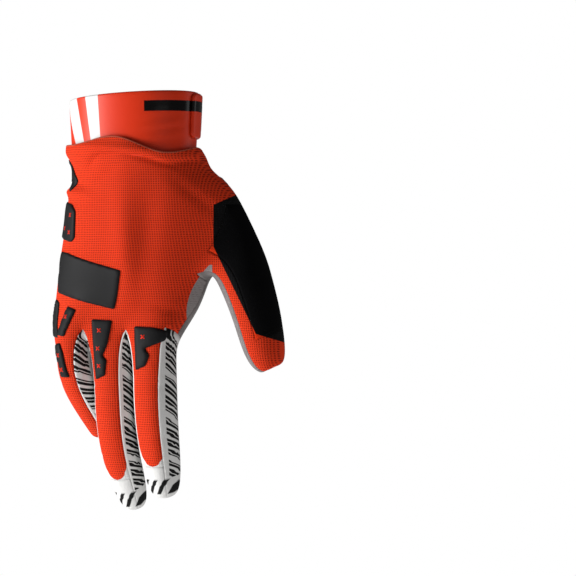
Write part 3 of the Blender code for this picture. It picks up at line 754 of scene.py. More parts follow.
class Skin:
    """The glove's whole skin as one smooth surface, and the panels that it is cut into."""

    def __init__(self, size: GloveSize) -> None:
        self.size = size
        self.points: list[list[float]] = []
        self.faces: list[tuple[int, int, int, int]] = []
        self.panels: list[int] = []
        self.lines: dict[str, np.ndarray] = {}
        self.build_cage()
        self.smooth()
        self.fold()
        self.locate_fingers()
        self.tree = BVHTree.FromPolygons([Vector(point) for point in self.where.tolist()], self.corners.tolist())

    def hand_ring(self, section: Section, wave: np.ndarray) -> np.ndarray:
        """The 20 points of one section: little finger's edge, back, thumb's edge, palm.

        Args:
            section: The section.
            wave: Rise of its nine points on the back, in mm.

        Returns:
            (20, 3) points in mm: a chord from edge to edge with a bulge to the back and one to the palm.
        """
        size = self.size
        across = np.array(ACROSS)
        along = (across + 1.0) / 2.0
        x = size.palm_width * (section.left_x + along * (section.right_x - section.left_x))
        chord = size.hand_depth * (section.left_y + along * (section.right_y - section.left_y))
        above = chord - size.hand_depth * section.back * bulge(across, section.back_peak, section.back_power)
        below = chord + size.hand_depth * section.palm * bulge(across, section.palm_peak, section.palm_power)
        z_edge = size.hand_length * (section.z_back + section.z_palm) / 2.0
        left = [size.palm_width * section.left_x, size.hand_depth * section.left_y, z_edge]
        right = [size.palm_width * section.right_x, size.hand_depth * section.right_y, z_edge]
        top = np.column_stack([x, above, size.hand_length * section.z_back + wave])
        bottom = np.column_stack([x, below, np.full(len(x), size.hand_length * section.z_palm)])
        return np.vstack([left, top, right, bottom[::-1]])

    def finger_rings(self, finger: Finger) -> tuple[list[np.ndarray], np.ndarray]:
        """The rings of a finger, from its base to its tip, and the tip's point.

        Args:
            finger: The finger.

        Returns:
            Arrays of eight points across a middle line that bends by lean + flex * ramp(at), and its end.
        """

        def bend(at: float) -> float:
            return finger.lean + finger.flex * float(np.clip((at - finger.bend_at) / BEND_SPREAD + 0.5, 0.0, 1.0))

        size = self.size
        out, side = facing_axes(finger.roll)
        hinge = facing_axes(finger.curl)[1]
        down = turned(np.array([0.0, 0.0, -1.0]), np.array([0.0, -1.0, 0.0]), finger.splay)
        place = np.array([
            size.palm_width * finger.base_x, size.hand_depth * finger.base_y, size.hand_length * finger.base_z,
        ])
        rings = []
        line = []
        at = 0.0
        for station, girth in ((0.0, 1.0), *FINGER_RINGS, (1.0, 0.0)):
            while at < station - BEND_STEP / 2.0:
                place = place + turned(down, hinge, bend(at)) * finger.length * BEND_STEP
                at += BEND_STEP
                axes = turned(side, hinge, bend(at)), turned(out, hinge, bend(at))
                line.append(np.concatenate([place, *axes, [at * finger.length, finger.length]]))
            seam = 45.0 + (finger.thumb_seam - 45.0) * min(at / SEAM_SETTLES, 1.0)
            octagon = np.radians([135.0, 90.0, seam, 0.0, -45.0, -90.0, -135.0, 180.0])
            seams = 1.0 + (SQUARENESS - 1.0) * np.abs(np.sin(2.0 * octagon))
            half_width = size.finger_width * finger.width * girth * FINGER_FULLNESS / 2.0
            half_depth = size.finger_depth * finger.depth * girth * FINGER_FULLNESS / 2.0
            rings.append(
                place
                + np.outer(np.cos(octagon) * seams * half_width, turned(side, hinge, bend(at)))
                + np.outer(np.sin(octagon) * seams * half_depth, turned(out, hinge, bend(at)))
            )
        self.lines[finger.name] = np.array(line)
        return rings[:-1], rings[-1].mean(axis=0)

    def knuckle_ring(self, bases: list[np.ndarray]) -> tuple[np.ndarray, list[np.ndarray]]:
        """The last ring of the hand, from the bases of the fingers, and the three points in the webs.

        Args:
            bases: The first ring of each finger.

        Returns:
            (20, 3) points, and a point for each web.
        """
        z_back = self.size.hand_length * WEB_BACK
        z_palm = self.size.hand_length * WEB_PALM
        webs = []
        for left, right in zip(bases[:-1], bases[1:]):
            over, between, under = (left[2] + right[0]) / 2.0, (left[3] + right[7]) / 2.0, (left[4] + right[6]) / 2.0
            over[2], between[2], under[2] = z_back, z_back + (z_palm - z_back) * WEB_SAG, z_palm
            webs.append((over, between, under))
        back, palm = [], []
        for number, base in enumerate(bases):
            over, _, under = webs[number - 1] if number else (base[0], None, base[6])
            back += [[over[0], over[1], z_back], [base[1][0], base[1][1], z_back]]
            palm += [[under[0], under[1], z_palm], [base[5][0], base[5][1], z_palm]]
        last = bases[-1]
        back.append([last[2][0], last[2][1], z_back])
        palm.append([last[4][0], last[4][1], z_palm])
        z_edge = (z_back + z_palm) / 2.0
        left = [bases[0][7][0], bases[0][7][1], z_edge]
        right = [last[3][0], last[3][1], z_edge]
        return np.vstack([[left], back, [right], palm[::-1]]), [web[1] for web in webs]

    def thumb_rings(self) -> tuple[list[np.ndarray], np.ndarray]:
        """The rings of the thumb, as ellipses across its tilted middle line.

        Returns:
            The rings from the hand to the tip, and the tip's point.
        """
        size = self.size
        out, level = facing_axes(THUMB_ROLL)
        side = turned(level, out, THUMB_TILT)
        turns = np.radians(-360.0 / THUMB_CORNERS * np.arange(THUMB_CORNERS))
        rings = []
        for x, y, z, girth in THUMB_RINGS:
            middle = np.array([size.palm_width * x, size.hand_depth * y, size.hand_length * z])
            across = np.outer(np.cos(turns) * size.thumb_width * girth * THUMB_FULLNESS / 2.0, side)
            through = np.outer(np.sin(turns) * size.thumb_depth * girth * THUMB_FULLNESS / 2.0, out)
            rings.append(middle + across + through)
        return rings, rings[-1].mean(axis=0) + np.cross(out, side) * size.thumb_depth * THUMB_END

    def add(self, ring: Iterable) -> list[int]:
        """Adds points to the cage and returns their places."""
        start = len(self.points)
        self.points.extend(np.asarray(ring).tolist())
        return list(range(start, len(self.points)))

    def quad(self, corners: tuple[int, int, int, int], panel: int) -> None:
        """Adds one face to the cage."""
        self.faces.append(corners)
        self.panels.append(int(panel))

    def build_cage(self) -> None:
        """Joins sections, fingers and thumb into one cage of quads."""
        fingers = [self.finger_rings(finger) for finger in FINGERS]
        knuckles, web_points = self.knuckle_ring([rings[0] for rings, _ in fingers])
        fades = RIM_WAVE_FADE + (0.0,) * (len(SECTIONS) - len(RIM_WAVE_FADE))
        wave = np.array(RIM_WAVE)
        rows = [self.add(self.hand_ring(section, wave * fade)) for section, fade in zip(SECTIONS, fades)]
        rows.append(self.add(knuckles))
        webs = self.add(web_points)
        thumb_top, thumb_bottom = THUMB_ROWS
        columns = len(rows[0])
        for row in range(len(rows) - 1):
            for column in range(columns):
                if column in THUMB_COLUMNS and thumb_top <= row < thumb_bottom:
                    continue
                under_thumb = column == THUMB_COLUMNS[1] and row >= thumb_bottom
                panel = Panel.PALM if column in PALM_COLUMNS or under_thumb else Panel.BACK
                after = (column + 1) % columns
                self.quad((rows[row][column], rows[row][after], rows[row + 1][after], rows[row + 1][column]), panel)
        for number, (rings, tip) in enumerate(fingers):
            self.build_finger(number, rings, tip, rows[-1], webs)
        self.build_thumb(rows)

    def build_finger(
        self, number: int, rings: list[np.ndarray], tip: np.ndarray, last: list[int], webs: list[int]
    ) -> None:
        """Joins one finger's rings to the last ring of the hand.

        Args:
            number: Which finger, from the little one.
            rings: Its rings.
            tip: The point at its end.
            last: Places of the hand's last ring.
            webs: Places of the points in the webs.
        """
        first, palm_first = 1 + 2 * number, 19 - 2 * number
        left = last[0] if number == 0 else webs[number - 1]
        right = last[10] if number == len(FINGERS) - 1 else webs[number]
        ring = [
            last[first], last[first + 1], last[first + 2], right,
            last[palm_first - 2], last[palm_first - 1], last[palm_first], left,
        ]
        left_panel = (Panel.SIDE_PINKY, *list(Panel)[2:5])[number]
        right_panel = (*list(Panel)[2:5], Panel.SIDE_INDEX)[number]
        tip_panel = Panel.TIP_PINKY + number
        around = (Panel.BACK, Panel.BACK, right_panel, right_panel, Panel.PALM, Panel.PALM, left_panel, left_panel)
        for step, corners in enumerate(rings[1:]):
            following = self.add(corners)
            for corner, panel in enumerate(around):
                after = (corner + 1) % 8
                shown = tip_panel if step >= BACK_RINGS and panel == Panel.BACK else panel
                self.quad((ring[corner], ring[after], following[after], following[corner]), shown)
            ring = following
        end = self.add([tip])[0]
        for corner, panel in ((0, tip_panel), (2, tip_panel), (4, Panel.PALM), (6, tip_panel)):
            self.quad((ring[corner], ring[corner + 1], ring[(corner + 2) % 8], end), panel)

    def build_thumb(self, rows: list[list[int]]) -> None:
        """Joins the thumb's rings to the opening that the hand leaves for it."""
        rings, tip = self.thumb_rings()
        top, bottom = rows[THUMB_ROWS[0]], rows[THUMB_ROWS[1]]
        between = rows[THUMB_ROWS[0] + 1 : THUMB_ROWS[1]]
        ring = [top[10], top[11], *(row[11] for row in between), bottom[11], bottom[10], bottom[9]]
        ring += [*(row[9] for row in reversed(between)), top[9]]
        for step, corners in enumerate(rings):
            following = self.add(corners)
            for corner in range(THUMB_CORNERS):
                after = (corner + 1) % THUMB_CORNERS
                panel = Panel.BACK if corner == 6 or step >= WIPE_RINGS else Panel.WIPE
                panel = Panel.PALM if 1 <= corner <= 5 else panel
                self.quad((ring[corner], ring[after], following[after], following[corner]), panel)
            ring = following
        end = self.add([tip])[0]
        for corner in range(0, THUMB_CORNERS, 2):
            panel = Panel.PALM if 1 <= corner <= 4 else Panel.BACK
            self.quad((ring[corner], ring[corner + 1], ring[(corner + 2) % THUMB_CORNERS], end), panel)

    def smooth(self) -> None:
        """Smooths the cage by Catmull and Clark's rule, and keeps points, quads, panels and normals as arrays."""
        mesh = bpy.data.meshes.new("cage")
        mesh.from_pydata((np.array(self.points) * MM).tolist(), [], self.faces)
        for _ in Panel:
            mesh.materials.append(None)
        mesh.polygons.foreach_set("material_index", self.panels)
        cage = bpy.data.objects.new("cage", mesh)
        bpy.context.scene.collection.objects.link(cage)
        smoother = cage.modifiers.new("smooth", "SUBSURF")
        smoother.levels = smoother.render_levels = SKIN_LEVELS
        bpy.context.view_layer.update()
        shape = cage.evaluated_get(bpy.context.evaluated_depsgraph_get()).to_mesh()
        solid = bmesh.new()
        solid.from_mesh(shape)
        bmesh.ops.recalc_face_normals(solid, faces=solid.faces)
        solid.normal_update()
        self.where = np.array([vertex.co[:] for vertex in solid.verts])
        self.normals = np.array([vertex.normal[:] for vertex in solid.verts])
        self.corners = np.array([[vertex.index for vertex in face.verts] for face in solid.faces])
        self.owner = np.array([face.material_index for face in solid.faces])
        solid.free()
        bpy.data.objects.remove(cage)

    def fold(self) -> None:
        """Moves the skin in and out by its folds: depth * exp(-(along / length)^2 - (across / width)^2) each."""
        shift = np.zeros(len(self.where))
        out, along = facing_axes(-VIEW_TURN)
        seen = np.clip(self.normals @ out * FOLD_FADE + FOLD_REACH, 0.0, 1.0)
        for fold in FOLDS:
            flat_x = self.where @ along / MM - fold.along
            flat_z = self.where[:, 2] / MM - fold.down
            cosine, sine = np.cos(np.radians(fold.angle)), np.sin(np.radians(fold.angle))
            length = (flat_x * cosine + flat_z * sine) / fold.length
            width = (flat_z * cosine - flat_x * sine) / fold.width
            shift -= fold.depth * np.exp(-(length**2) - width**2) * seen
        self.where = self.where + self.normals * shift[:, None] * MM

    def locate_fingers(self) -> None:
        """Gives each point its place on its nearest finger, in mm: run along it, beside and out from its middle line.

        The middle line is walked in steps of BEND_STEP, and a point belongs to its nearest step. On the hand, above
        the webs, the run is 0.
        """
        stations = np.vstack([line for _, line in sorted(self.lines.items())])
        self.finger = np.zeros((len(self.where), 3))
        self.finger_length = np.ones(len(self.where))
        low = np.flatnonzero(self.where[:, 2] < self.size.hand_length * WEB_BACK * MM)
        away = np.linalg.norm(self.where[low, None] / MM - stations[None, :, :3], axis=-1)
        nearest = stations[away.argmin(axis=1)]
        offset = self.where[low] / MM - nearest[:, :3]
        self.finger[low] = np.stack([
            nearest[:, 9], np.sum(offset * nearest[:, 3:6], axis=1), np.sum(offset * nearest[:, 6:9], axis=1),
        ], axis=-1)
        self.finger_length[low] = nearest[:, 10]

    def seat(self, point: np.ndarray, out: np.ndarray) -> tuple[Vector, Vector]:
        """The skin under a point, looking back along a direction.

        Args:
            point: The point in metres.
            out: Unit vector away from the skin.

        Returns:
            The place on the skin and its outward normal.
        """
        start = Vector(point + out * self.size.palm_width * 2.0 * MM)
        place, normal, _, _ = self.tree.ray_cast(start, Vector(-out))
        if place is None:
            place, normal, _, _ = self.tree.find_nearest(Vector(point))
        return place, normal if normal.dot(Vector(out)) > 0.0 else -normal

    def panel(self, panel: Panel, wall: float, inset: float) -> tuple[np.ndarray, list, float]:
        """One panel as a closed solid, with its wall inwards and its rim drawn back by the inset.

        Args:
            panel: Which panel.
            wall: Thickness in mm.
            inset: How far its rim is drawn back, in mm.

        Returns:
            Points, faces, and the area of its outer side in square metres.
        """
        quads = self.corners[self.owner == panel]
        used, flat = np.unique(quads, return_inverse=True)
        quads = flat.reshape(quads.shape)
        outer, normal = self.where[used].copy(), self.normals[used]
        edges = np.stack([quads, np.roll(quads, -1, axis=1)], axis=-1).reshape(-1, 2)
        keys, first, counts = np.unique(np.sort(edges, axis=1), axis=0, return_index=True, return_counts=True)
        rim = edges[first[counts == 1]]
        on_rim = np.zeros(len(used), bool)
        on_rim[rim.ravel()] = True
        pull = np.zeros_like(outer)
        middles = outer[quads].mean(axis=1)
        for corner in range(4):
            np.add.at(pull, quads[:, corner], middles - outer[quads[:, corner]])
        pull -= normal * np.sum(pull * normal, axis=1, keepdims=True)
        length = np.linalg.norm(pull, axis=1, keepdims=True)
        unit = np.divide(pull, length, out=np.zeros_like(pull), where=length > 0)
        outer += unit * inset * MM * on_rim[:, None]
        count = len(used)
        diagonals = outer[quads[:, 2]] - outer[quads[:, 0]], outer[quads[:, 3]] - outer[quads[:, 1]]
        area = float(np.linalg.norm(np.cross(*diagonals), axis=1).sum() / 2.0)
        walls = np.column_stack([rim[:, 1], rim[:, 0], rim[:, 0] + count, rim[:, 1] + count])
        faces = np.vstack([quads, quads[:, ::-1] + count, walls])
        self.used = np.tile(used, 2)
        return np.vstack([outer, outer - normal * wall * MM]), faces.tolist(), area

    def mark(self, piece: bpy.types.Object) -> None:
        """Gives the piece made from the last panel its place on the fingers, as attributes for its material."""
        place = piece.data.attributes.new("finger", "FLOAT_VECTOR", "POINT")
        place.data.foreach_set("vector", self.finger[self.used].ravel())
        length = piece.data.attributes.new("finger_length", "FLOAT", "POINT")
        length.data.foreach_set("value", self.finger_length[self.used])


PANEL_FINISHES = {Panel.BACK: KNIT, Panel.PALM: SUEDE, Panel.WIPE: TERRY}
PANEL_NODES = {
    Panel.BACK: "back_knit", Panel.PALM: "palm_suede", Panel.WIPE: "thumb_wipe",
    Panel.SIDE_INDEX: "index_side", Panel.SIDE_PINKY: "pinky_side",
}


class Shell:
    """The cloth panels of the glove."""

    def __init__(self, skin: Skin) -> None:
        self.skin = skin

    def build(self) -> None:
        size = self.skin.size
        for panel in Panel:
            node = PANEL_NODES.get(panel, panel.name.lower())
            finish = PANEL_FINISHES.get(panel, MESH)
            points, faces, area = self.skin.panel(panel, size.cloth_wall, size.seam / 2.0)
            piece = add_mesh(f"{node}_cloth", points, faces, finish)
            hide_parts(node)
            self.skin.mark(piece)

    def build_piping(self, radius: float, sides: int) -> None:
        """A round welt along the rim at the wrist.

        Args:
            radius: Its radius in mm.
            sides: Corners of its section.
        """
        skin = self.skin
        edges = np.stack([skin.corners, np.roll(skin.corners, -1, axis=1)], axis=-1).reshape(-1, 2)
        _, first, counts = np.unique(np.sort(edges, axis=1), axis=0, return_index=True, return_counts=True)
        rim = np.unique(edges[first[counts == 1]])
        path = skin.where[rim]
        normals = skin.normals[rim]
        order = np.argsort(np.arctan2(path[:, 1], path[:, 0]))
        path, normals = path[order], normals[order]
        forward = np.roll(path, -1, axis=0) - np.roll(path, 1, axis=0)
        forward /= np.linalg.norm(forward, axis=1, keepdims=True)
        across = np.cross(forward, normals)
        turns = np.linspace(0.0, 2.0 * np.pi, sides, endpoint=False)
        rings = (
            path[:, None]
            - normals[:, None] * skin.size.cloth_wall / 2.0 * MM
            + (np.cos(turns)[None, :, None] * normals[:, None] + np.sin(turns)[None, :, None] * across[:, None])
            * radius * MM
        )
        add_mesh("rim_piping", rings.reshape(-1, 3), grid_faces(len(path), sides), PIPING)


def grid_faces(rows: int, columns: int) -> list[list[int]]:
    """The quads of a grid of points that closes both ways.

    Args:
        rows: Points one way.
        columns: Points the other way.

    Returns:
        rows * columns quads.
    """
    row, column = np.meshgrid(np.arange(rows), np.arange(columns), indexing="ij")
    here, below = row * columns, (row + 1) % rows * columns
    after = (column + 1) % columns
    return np.stack([here + column, here + after, below + after, below + column], axis=-1).reshape(-1, 4).tolist()


# Patches


class PatchMaker:
    """Lays moulded patches on the skin."""

    def __init__(self, skin: Skin, cell: float = 1.5, edge: float = 0.9) -> None:
        self.skin = skin
        self.cell = cell
        self.edge = edge

    def rounded(self, outline: np.ndarray, radius: float, steps: int = 4) -> np.ndarray:
        """The outline with each corner replaced by a quadratic arc.

        Args:
            outline: (n, 2) corners in mm.
            radius: How far from the corner its arc starts.
            steps: Points of an arc.

        Returns:
            The rounded outline.
        """
        points = []
        for number, corner in enumerate(outline):
            before, after = outline[number - 1] - corner, outline[(number + 1) % len(outline)] - corner
            start = corner + before * min(radius / np.linalg.norm(before), ARC_SHARE)
            end = corner + after * min(radius / np.linalg.norm(after), ARC_SHARE)
            for at in np.linspace(0.0, 1.0, steps):
                points.append(start * (1 - at) ** 2 + corner * 2 * at * (1 - at) + end * at**2)
        return np.array(points)

    def cells(self, outline: np.ndarray) -> tuple[np.ndarray, list[list[int]]]:
        """The outline filled with small cells.

        Args:
            outline: (n, 2) corners in mm.

        Returns:
            Flat points in mm, and faces.
        """
        flat = bmesh.new()
        flat.faces.new([flat.verts.new((x, z, 0.0)) for x, z in outline])
        for axis in (Vector((1.0, 0.0, 0.0)), Vector((0.0, 1.0, 0.0))):
            reach = [vertex.co.dot(axis) for vertex in flat.verts]
            count = int(np.ceil((max(reach) - min(reach)) / self.cell))
            for place in np.linspace(min(reach), max(reach), count + 1)[1:-1]:
                everything = flat.verts[:] + flat.edges[:] + flat.faces[:]
                bmesh.ops.bisect_plane(flat, geom=everything, plane_co=axis * float(place), plane_no=axis)
        bmesh.ops.remove_doubles(flat, verts=flat.verts, dist=self.cell * CELL_MERGE)
        bmesh.ops.triangulate(flat, faces=flat.faces)
        flat.verts.index_update()
        points = np.array([vertex.co[:2] for vertex in flat.verts])
        faces = [[vertex.index for vertex in face.verts] for face in flat.faces]
        flat.free()
        return points, faces

    def plate(
        self, outline: np.ndarray, facing: float, floor: float, rise: float
    ) -> tuple[np.ndarray, list[list[int]]]:
        """A closed plate on the skin whose edge rises as sqrt(1 - (1 - min(d / edge, 1))^2) from a foot.

        Args:
            outline: (n, 2) in mm, along and down.
            facing: The plane that the outline lies in.
            floor: Height of its underside over the skin, in mm.
            rise: Its thickness in mm.

        Returns:
            Points in metres and faces.
        """
        flat, faces = self.cells(outline)
        out, along = facing_axes(facing)
        ends = np.roll(outline, -1, axis=0) - outline
        offset = flat[:, None] - outline[None]
        share = np.clip(np.sum(offset * ends, axis=-1) / np.maximum(np.sum(ends**2, axis=-1), 1e-9), 0.0, 1.0)
        distance = np.linalg.norm(offset - share[..., None] * ends, axis=-1).min(axis=1)
        height = EDGE_FOOT + (1.0 - EDGE_FOOT) * np.sqrt(1.0 - (1.0 - np.clip(distance / self.edge, 0.0, 1.0)) ** 2)
        seats = [self.skin.seat((along * x + np.array([0.0, 0.0, z])) * MM, out) for x, z in flat]
        place = np.array([seat[:] for seat, _ in seats])
        normal = np.array([up[:] for _, up in seats])
        upper = place + normal * (floor + rise * height)[:, None] * MM
        lower = place + normal * floor * MM
        count = len(flat)
        edges = [edge for face in faces for edge in zip(face, face[1:] + face[:1])]
        known = set(edges)
        single = [edge for edge in edges if edge[::-1] not in known]
        whole = faces + [[corner + count for corner in reversed(face)] for face in faces]
        whole += [[end, start, start + count, end + count] for start, end in single]
        return np.vstack([upper, lower]), whole

    def build(self, patch: Patch) -> list[tuple[np.ndarray, list[list[int]]]]:
        """Builds one patch in place of its node.

        Args:
            patch: The patch.

        Returns:
            Points and faces of the plates that its crosses are made of.
        """
        size = self.skin.size
        corners = np.array(patch.outline) * (size.palm_width, size.hand_length)
        outline = self.rounded(corners, patch.round)
        points, faces = self.plate(outline, patch.facing, PATCH_GAP, patch.rise)
        piece = add_mesh(f"{patch.name}_rubber", points, faces, RUBBER)
        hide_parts(patch.name)
        low, high = corners.min(axis=0), corners.max(axis=0)
        bars = []
        for right, drop in patch.crosses:
            middle = np.array([low[0] + right * (high[0] - low[0]), high[1] - drop * (high[1] - low[1])])
            for angle in (45.0, 135.0):
                arm = np.array([np.cos(np.radians(angle)), np.sin(np.radians(angle))])
                side = np.array([-arm[1], arm[0]]) * CROSS_WIDTH / 2.0
                reach = arm * CROSS_REACH
                bar = middle + np.array([-reach - side, reach - side, reach + side, -reach + side])
                bars.append(self.plate(bar, patch.facing, patch.rise, CROSS_RISE))
        return bars

    def build_all(self) -> None:
        """Builds every patch, and all crosses as one piece."""
        plates = [plate for patch in PATCHES for plate in self.build(patch)]
        points, faces, start = [], [], 0
        for plate_points, plate_faces in plates:
            points.append(plate_points)
            faces += [[corner + start for corner in face] for face in plate_faces]
            start += len(plate_points)
        add_mesh("pad_crosses", np.vstack(points), faces, CROSSES)


# The cuff


@dataclass(frozen=True)
class CuffSize:
    """Sizes of the cuff in mm and degrees."""

    width: float = 78.5
    depth: float = 53.5
    height: float = 33.5
    longer: float = 4.5
    wall: float = 2.0
    flare: float = 0.8
    dip: float = 6.0
    crest: float = 60.0


@dataclass(frozen=True)
class WrapSize:
    """A strip round the cuff: degrees round from the back, and mm."""

    name: str
    node: str
    turns: tuple[float, float]
    top: float
    height: float
    offset: float
    wall: float
    corner: float


CUFF = CuffSize()
# Shallow ripples depth * sin(down * d + around * t), faded out round one place of the cuff, in mm and degrees
RIPPLE_DEPTH = 0.25
RIPPLE_DOWN = 0.9
RIPPLE_AROUND = 4.0
RIPPLE_TURN = 55.0
RIPPLE_SPREAD = 30.0
RIPPLE_DROP = 21.0
RIPPLE_WIDTH = 8.0
WRAP_FOOT = 0.4  # share of a wrap's wall that stands upright at its edge
WRAPS = (
    (WrapSize("strap_skin", "wrist_strap", (84.0, 163.0), 0.9, 26.0, 0.3, 1.8, 4.0), CUFF_SKIN),
    (WrapSize("tab_rubber", "strap_tab", (126.0, 161.0), 4.4, 19.0, 2.4, 1.2, 4.0), RUBBER),
)


class Cuff:
    """The band round the wrist with its strap."""

    def __init__(self, size: CuffSize) -> None:
        self.size = size

    def point(self, turn: np.ndarray, down: np.ndarray, offset: np.ndarray) -> np.ndarray:
        """Points of the cuff's elliptical wall.

        Args:
            turn: Radians round from the back.
            down: Drop below the rim, in mm.
            offset: Distance outwards, in mm.

        Returns:
            Points in metres: (w/2 sin t, -d/2 cos t) plus the offset and the flare along the ellipse's normal.
        """
        size = self.size
        half_width, half_depth = size.width / 2.0, size.depth / 2.0
        out = np.stack([np.sin(turn) / half_width, -np.cos(turn) / half_depth], axis=-1)
        out /= np.linalg.norm(out, axis=-1, keepdims=True)
        lift = offset + size.flare * (1.0 - 2.0 * down / size.height)
        dip = size.dip * (1.0 - np.cos(turn - np.radians(size.crest))) / 2.0
        x = half_width * np.sin(turn) + out[..., 0] * lift
        y = -half_depth * np.cos(turn) + out[..., 1] * lift
        return np.stack([x, y, -(down + dip * np.maximum(1.0 - down / size.height, 0.0))], axis=-1) * MM

    def build_band(self, columns: int = 288, rows: int = 22, rim: int = 5) -> None:
        """The band: an outer wall, a rounded top rim, an inner wall and a rounded lower rim, as one grid.

        Args:
            columns: Points round it.
            rows: Points down each wall.
            rim: Points round each rim.
        """
        size = self.size
        half = size.wall / 2.0
        bottom = size.height
        walls = np.linspace(half, bottom - half, rows)
        arc = np.linspace(0.0, np.pi, rim + 2)[1:-1]
        down = np.concatenate([walls, bottom - half + half * np.sin(arc), walls[::-1], half - half * np.sin(arc)])
        offset = np.concatenate([
            np.zeros(rows), half * np.cos(arc) - half, np.full(rows, -size.wall), -half - half * np.cos(arc),
        ])
        turns = np.linspace(-np.pi, np.pi, columns, endpoint=False)
        turn = np.broadcast_to(turns[None, :], (len(down), columns))
        longer = size.longer * ((1.0 + np.cos(turns - np.radians(size.crest))) / 2.0) ** 2
        drop = down[:, None] * (1.0 + longer[None, :] / bottom)
        around = np.exp(-(((np.degrees(turn) - RIPPLE_TURN) / RIPPLE_SPREAD) ** 2))
        beside = np.exp(-(((drop - RIPPLE_DROP) / RIPPLE_WIDTH) ** 2))
        ripple = RIPPLE_DEPTH * np.sin(drop * RIPPLE_DOWN + RIPPLE_AROUND * turn) * around * beside
        points = self.point(turn, drop, offset[:, None] + ripple)
        piece = add_mesh("cuff_neoprene", points.reshape(-1, 3), grid_faces(len(down), columns), CUFF_SKIN)
        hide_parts("cuff_band")
        lining = (np.arange(len(down)) >= rows + rim // 2) & (np.arange(len(down)) < 2 * rows + rim + rim // 2)
        shown = drop + np.where(lining, LINING_DROP * size.height, 0.0)[:, None]
        self.map_wrap(piece, turn.ravel(), shown.ravel())

    def map_wrap(self, piece: bpy.types.Object, turn: np.ndarray, down: np.ndarray) -> None:
        """Gives a piece of quads its wrap UV: turn / 360 degrees, and drop / cuff height.

        Args:
            piece: The piece.
            turn: Radians of each vertex.
            down: Drop of each vertex in mm.
        """
        layer = piece.data.uv_layers.new(name="wrap")
        corner = np.empty(len(piece.data.loops), np.int64)
        piece.data.loops.foreach_get("vertex_index", corner)
        corners = np.stack([np.degrees(turn) / 360.0, down / self.size.height], axis=-1)[corner].reshape(-1, 4, 2)
        spans = corners[:, :, 0].max(axis=1) - corners[:, :, 0].min(axis=1) > 0.5
        corners[:, :, 0] += np.where(spans[:, None] & (corners[:, :, 0] < 0.0), 1.0, 0.0)
        layer.data.foreach_set("uv", corners.reshape(-1))

    def build_wrap(self, wrap: WrapSize, finish: Finish, columns: int = 90, rows: int = 30) -> None:
        """A strip with rounded ends and soft edges, as a grid.

        Args:
            wrap: Its sizes.
            finish: How it looks.
            columns: Points along it.
            rows: Points across it.
        """
        start, end = np.radians(wrap.turns)
        radius = (self.size.width + self.size.depth) / 4.0
        turns = np.linspace(start, end, columns)
        near = np.minimum(turns - start, end - turns) * radius
        short = wrap.corner - np.minimum(near, wrap.corner)
        trim = wrap.corner - np.sqrt(np.maximum(wrap.corner**2 - short**2, 0.0))
        share = np.linspace(0.0, 1.0, rows)
        down = wrap.top + trim[:, None] + share[None, :] * (wrap.height - 2.0 * trim[:, None])
        turn = np.broadcast_to(turns[:, None], down.shape)
        edge = np.minimum(np.minimum(down - wrap.top - trim[:, None], near[:, None]), share[None, ::-1] * wrap.height)
        soft = WRAP_FOOT + (1.0 - WRAP_FOOT) * np.sqrt(1.0 - (1.0 - np.clip(edge / wrap.wall, 0.0, 1.0)) ** 2)
        upper = self.point(turn, down, wrap.offset + wrap.wall * soft)
        lower = self.point(turn, down, np.full(down.shape, wrap.offset))
        count = columns * rows
        row, column = np.meshgrid(np.arange(columns - 1), np.arange(rows - 1), indexing="ij")
        here = (row * rows + column).ravel()
        sheet = np.stack([here, here + 1, here + rows + 1, here + rows], axis=-1)
        ring = np.concatenate([
            np.arange(rows), np.arange(1, columns) * rows + rows - 1,
            (columns - 1) * rows + np.arange(rows - 2, -1, -1), np.arange(columns - 2, 0, -1) * rows,
        ])
        after = np.roll(ring, -1)
        walls = np.stack([ring, ring + count, after + count, after], axis=-1)
        faces = np.vstack([sheet, sheet[:, ::-1] + count, walls]).tolist()
        piece = add_mesh(wrap.name, np.vstack([upper.reshape(-1, 3), lower.reshape(-1, 3)]), faces, finish)
        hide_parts(wrap.node)
        self.map_wrap(piece, np.tile(turn.ravel(), 2), np.tile(down.ravel(), 2))

    def build(self) -> None:
        """Builds the band, the strap and its tab."""
        self.build_band()
        for wrap, finish in WRAPS:
            self.build_wrap(wrap, finish)


# The studio


@dataclass(frozen=True)
class Lamp:
    """A soft area light: degrees round from the back and above the horizon, distance and size in metres, watts."""

    name: str
    turn: float
    rise: float
    distance: float
    size: float
    watts: float


LAMPS = (
    Lamp("key", -54.0, 8.0, 1.2, 0.35, 13.0),
    Lamp("low", -40.0, -16.0, 1.2, 0.35, 6.0),
    Lamp("front", 45.0, 15.0, 1.4, 0.6, 0.7),
    Lamp("side", 125.0, 10.0, 1.2, 0.6, 1.5),
)
AMBIENT = 0.12  # strength of the world's light on the glove
PIXEL = 0.57  # mm of the object a pixel
FRAME_MIDDLE = 288.0  # px
AXIS_PX = (134.0, 92.0)  # where the origin falls in the frame
DISTANCE = 3.0  # metres from the camera to the glove's axis
SENSOR = 36.0
CLIP_END = 20.0
LAMPS_LOOK_AT = -0.12  # height of what the lamps look at, in metres
FLOOR_HALF = 1.5
FLOOR_HEIGHT = -0.60


def direction(turn: float, rise: float) -> np.ndarray:
    """The unit vector to an azimuth and a height above the horizon.

    Args:
        turn: Azimuth in degrees, round from the back.
        rise: Degrees above the horizon.

    Returns:
        The vector.
    """
    across, up = np.radians(turn), np.radians(rise)
    return np.array([np.sin(across) * np.cos(up), -np.cos(across) * np.cos(up), np.sin(up)])


def look(obj: bpy.types.Object, place: np.ndarray, target: np.ndarray) -> None:
    """Puts a lamp or camera at a place and turns it to a target.

    Args:
        obj: The lamp or camera.
        place: Where it stands, in metres.
        target: What it looks at.
    """
    obj.location = Vector(place)
    obj.rotation_euler = Vector(target - place).to_track_quat("-Z", "Y").to_euler()
    bpy.context.scene.collection.objects.link(obj)


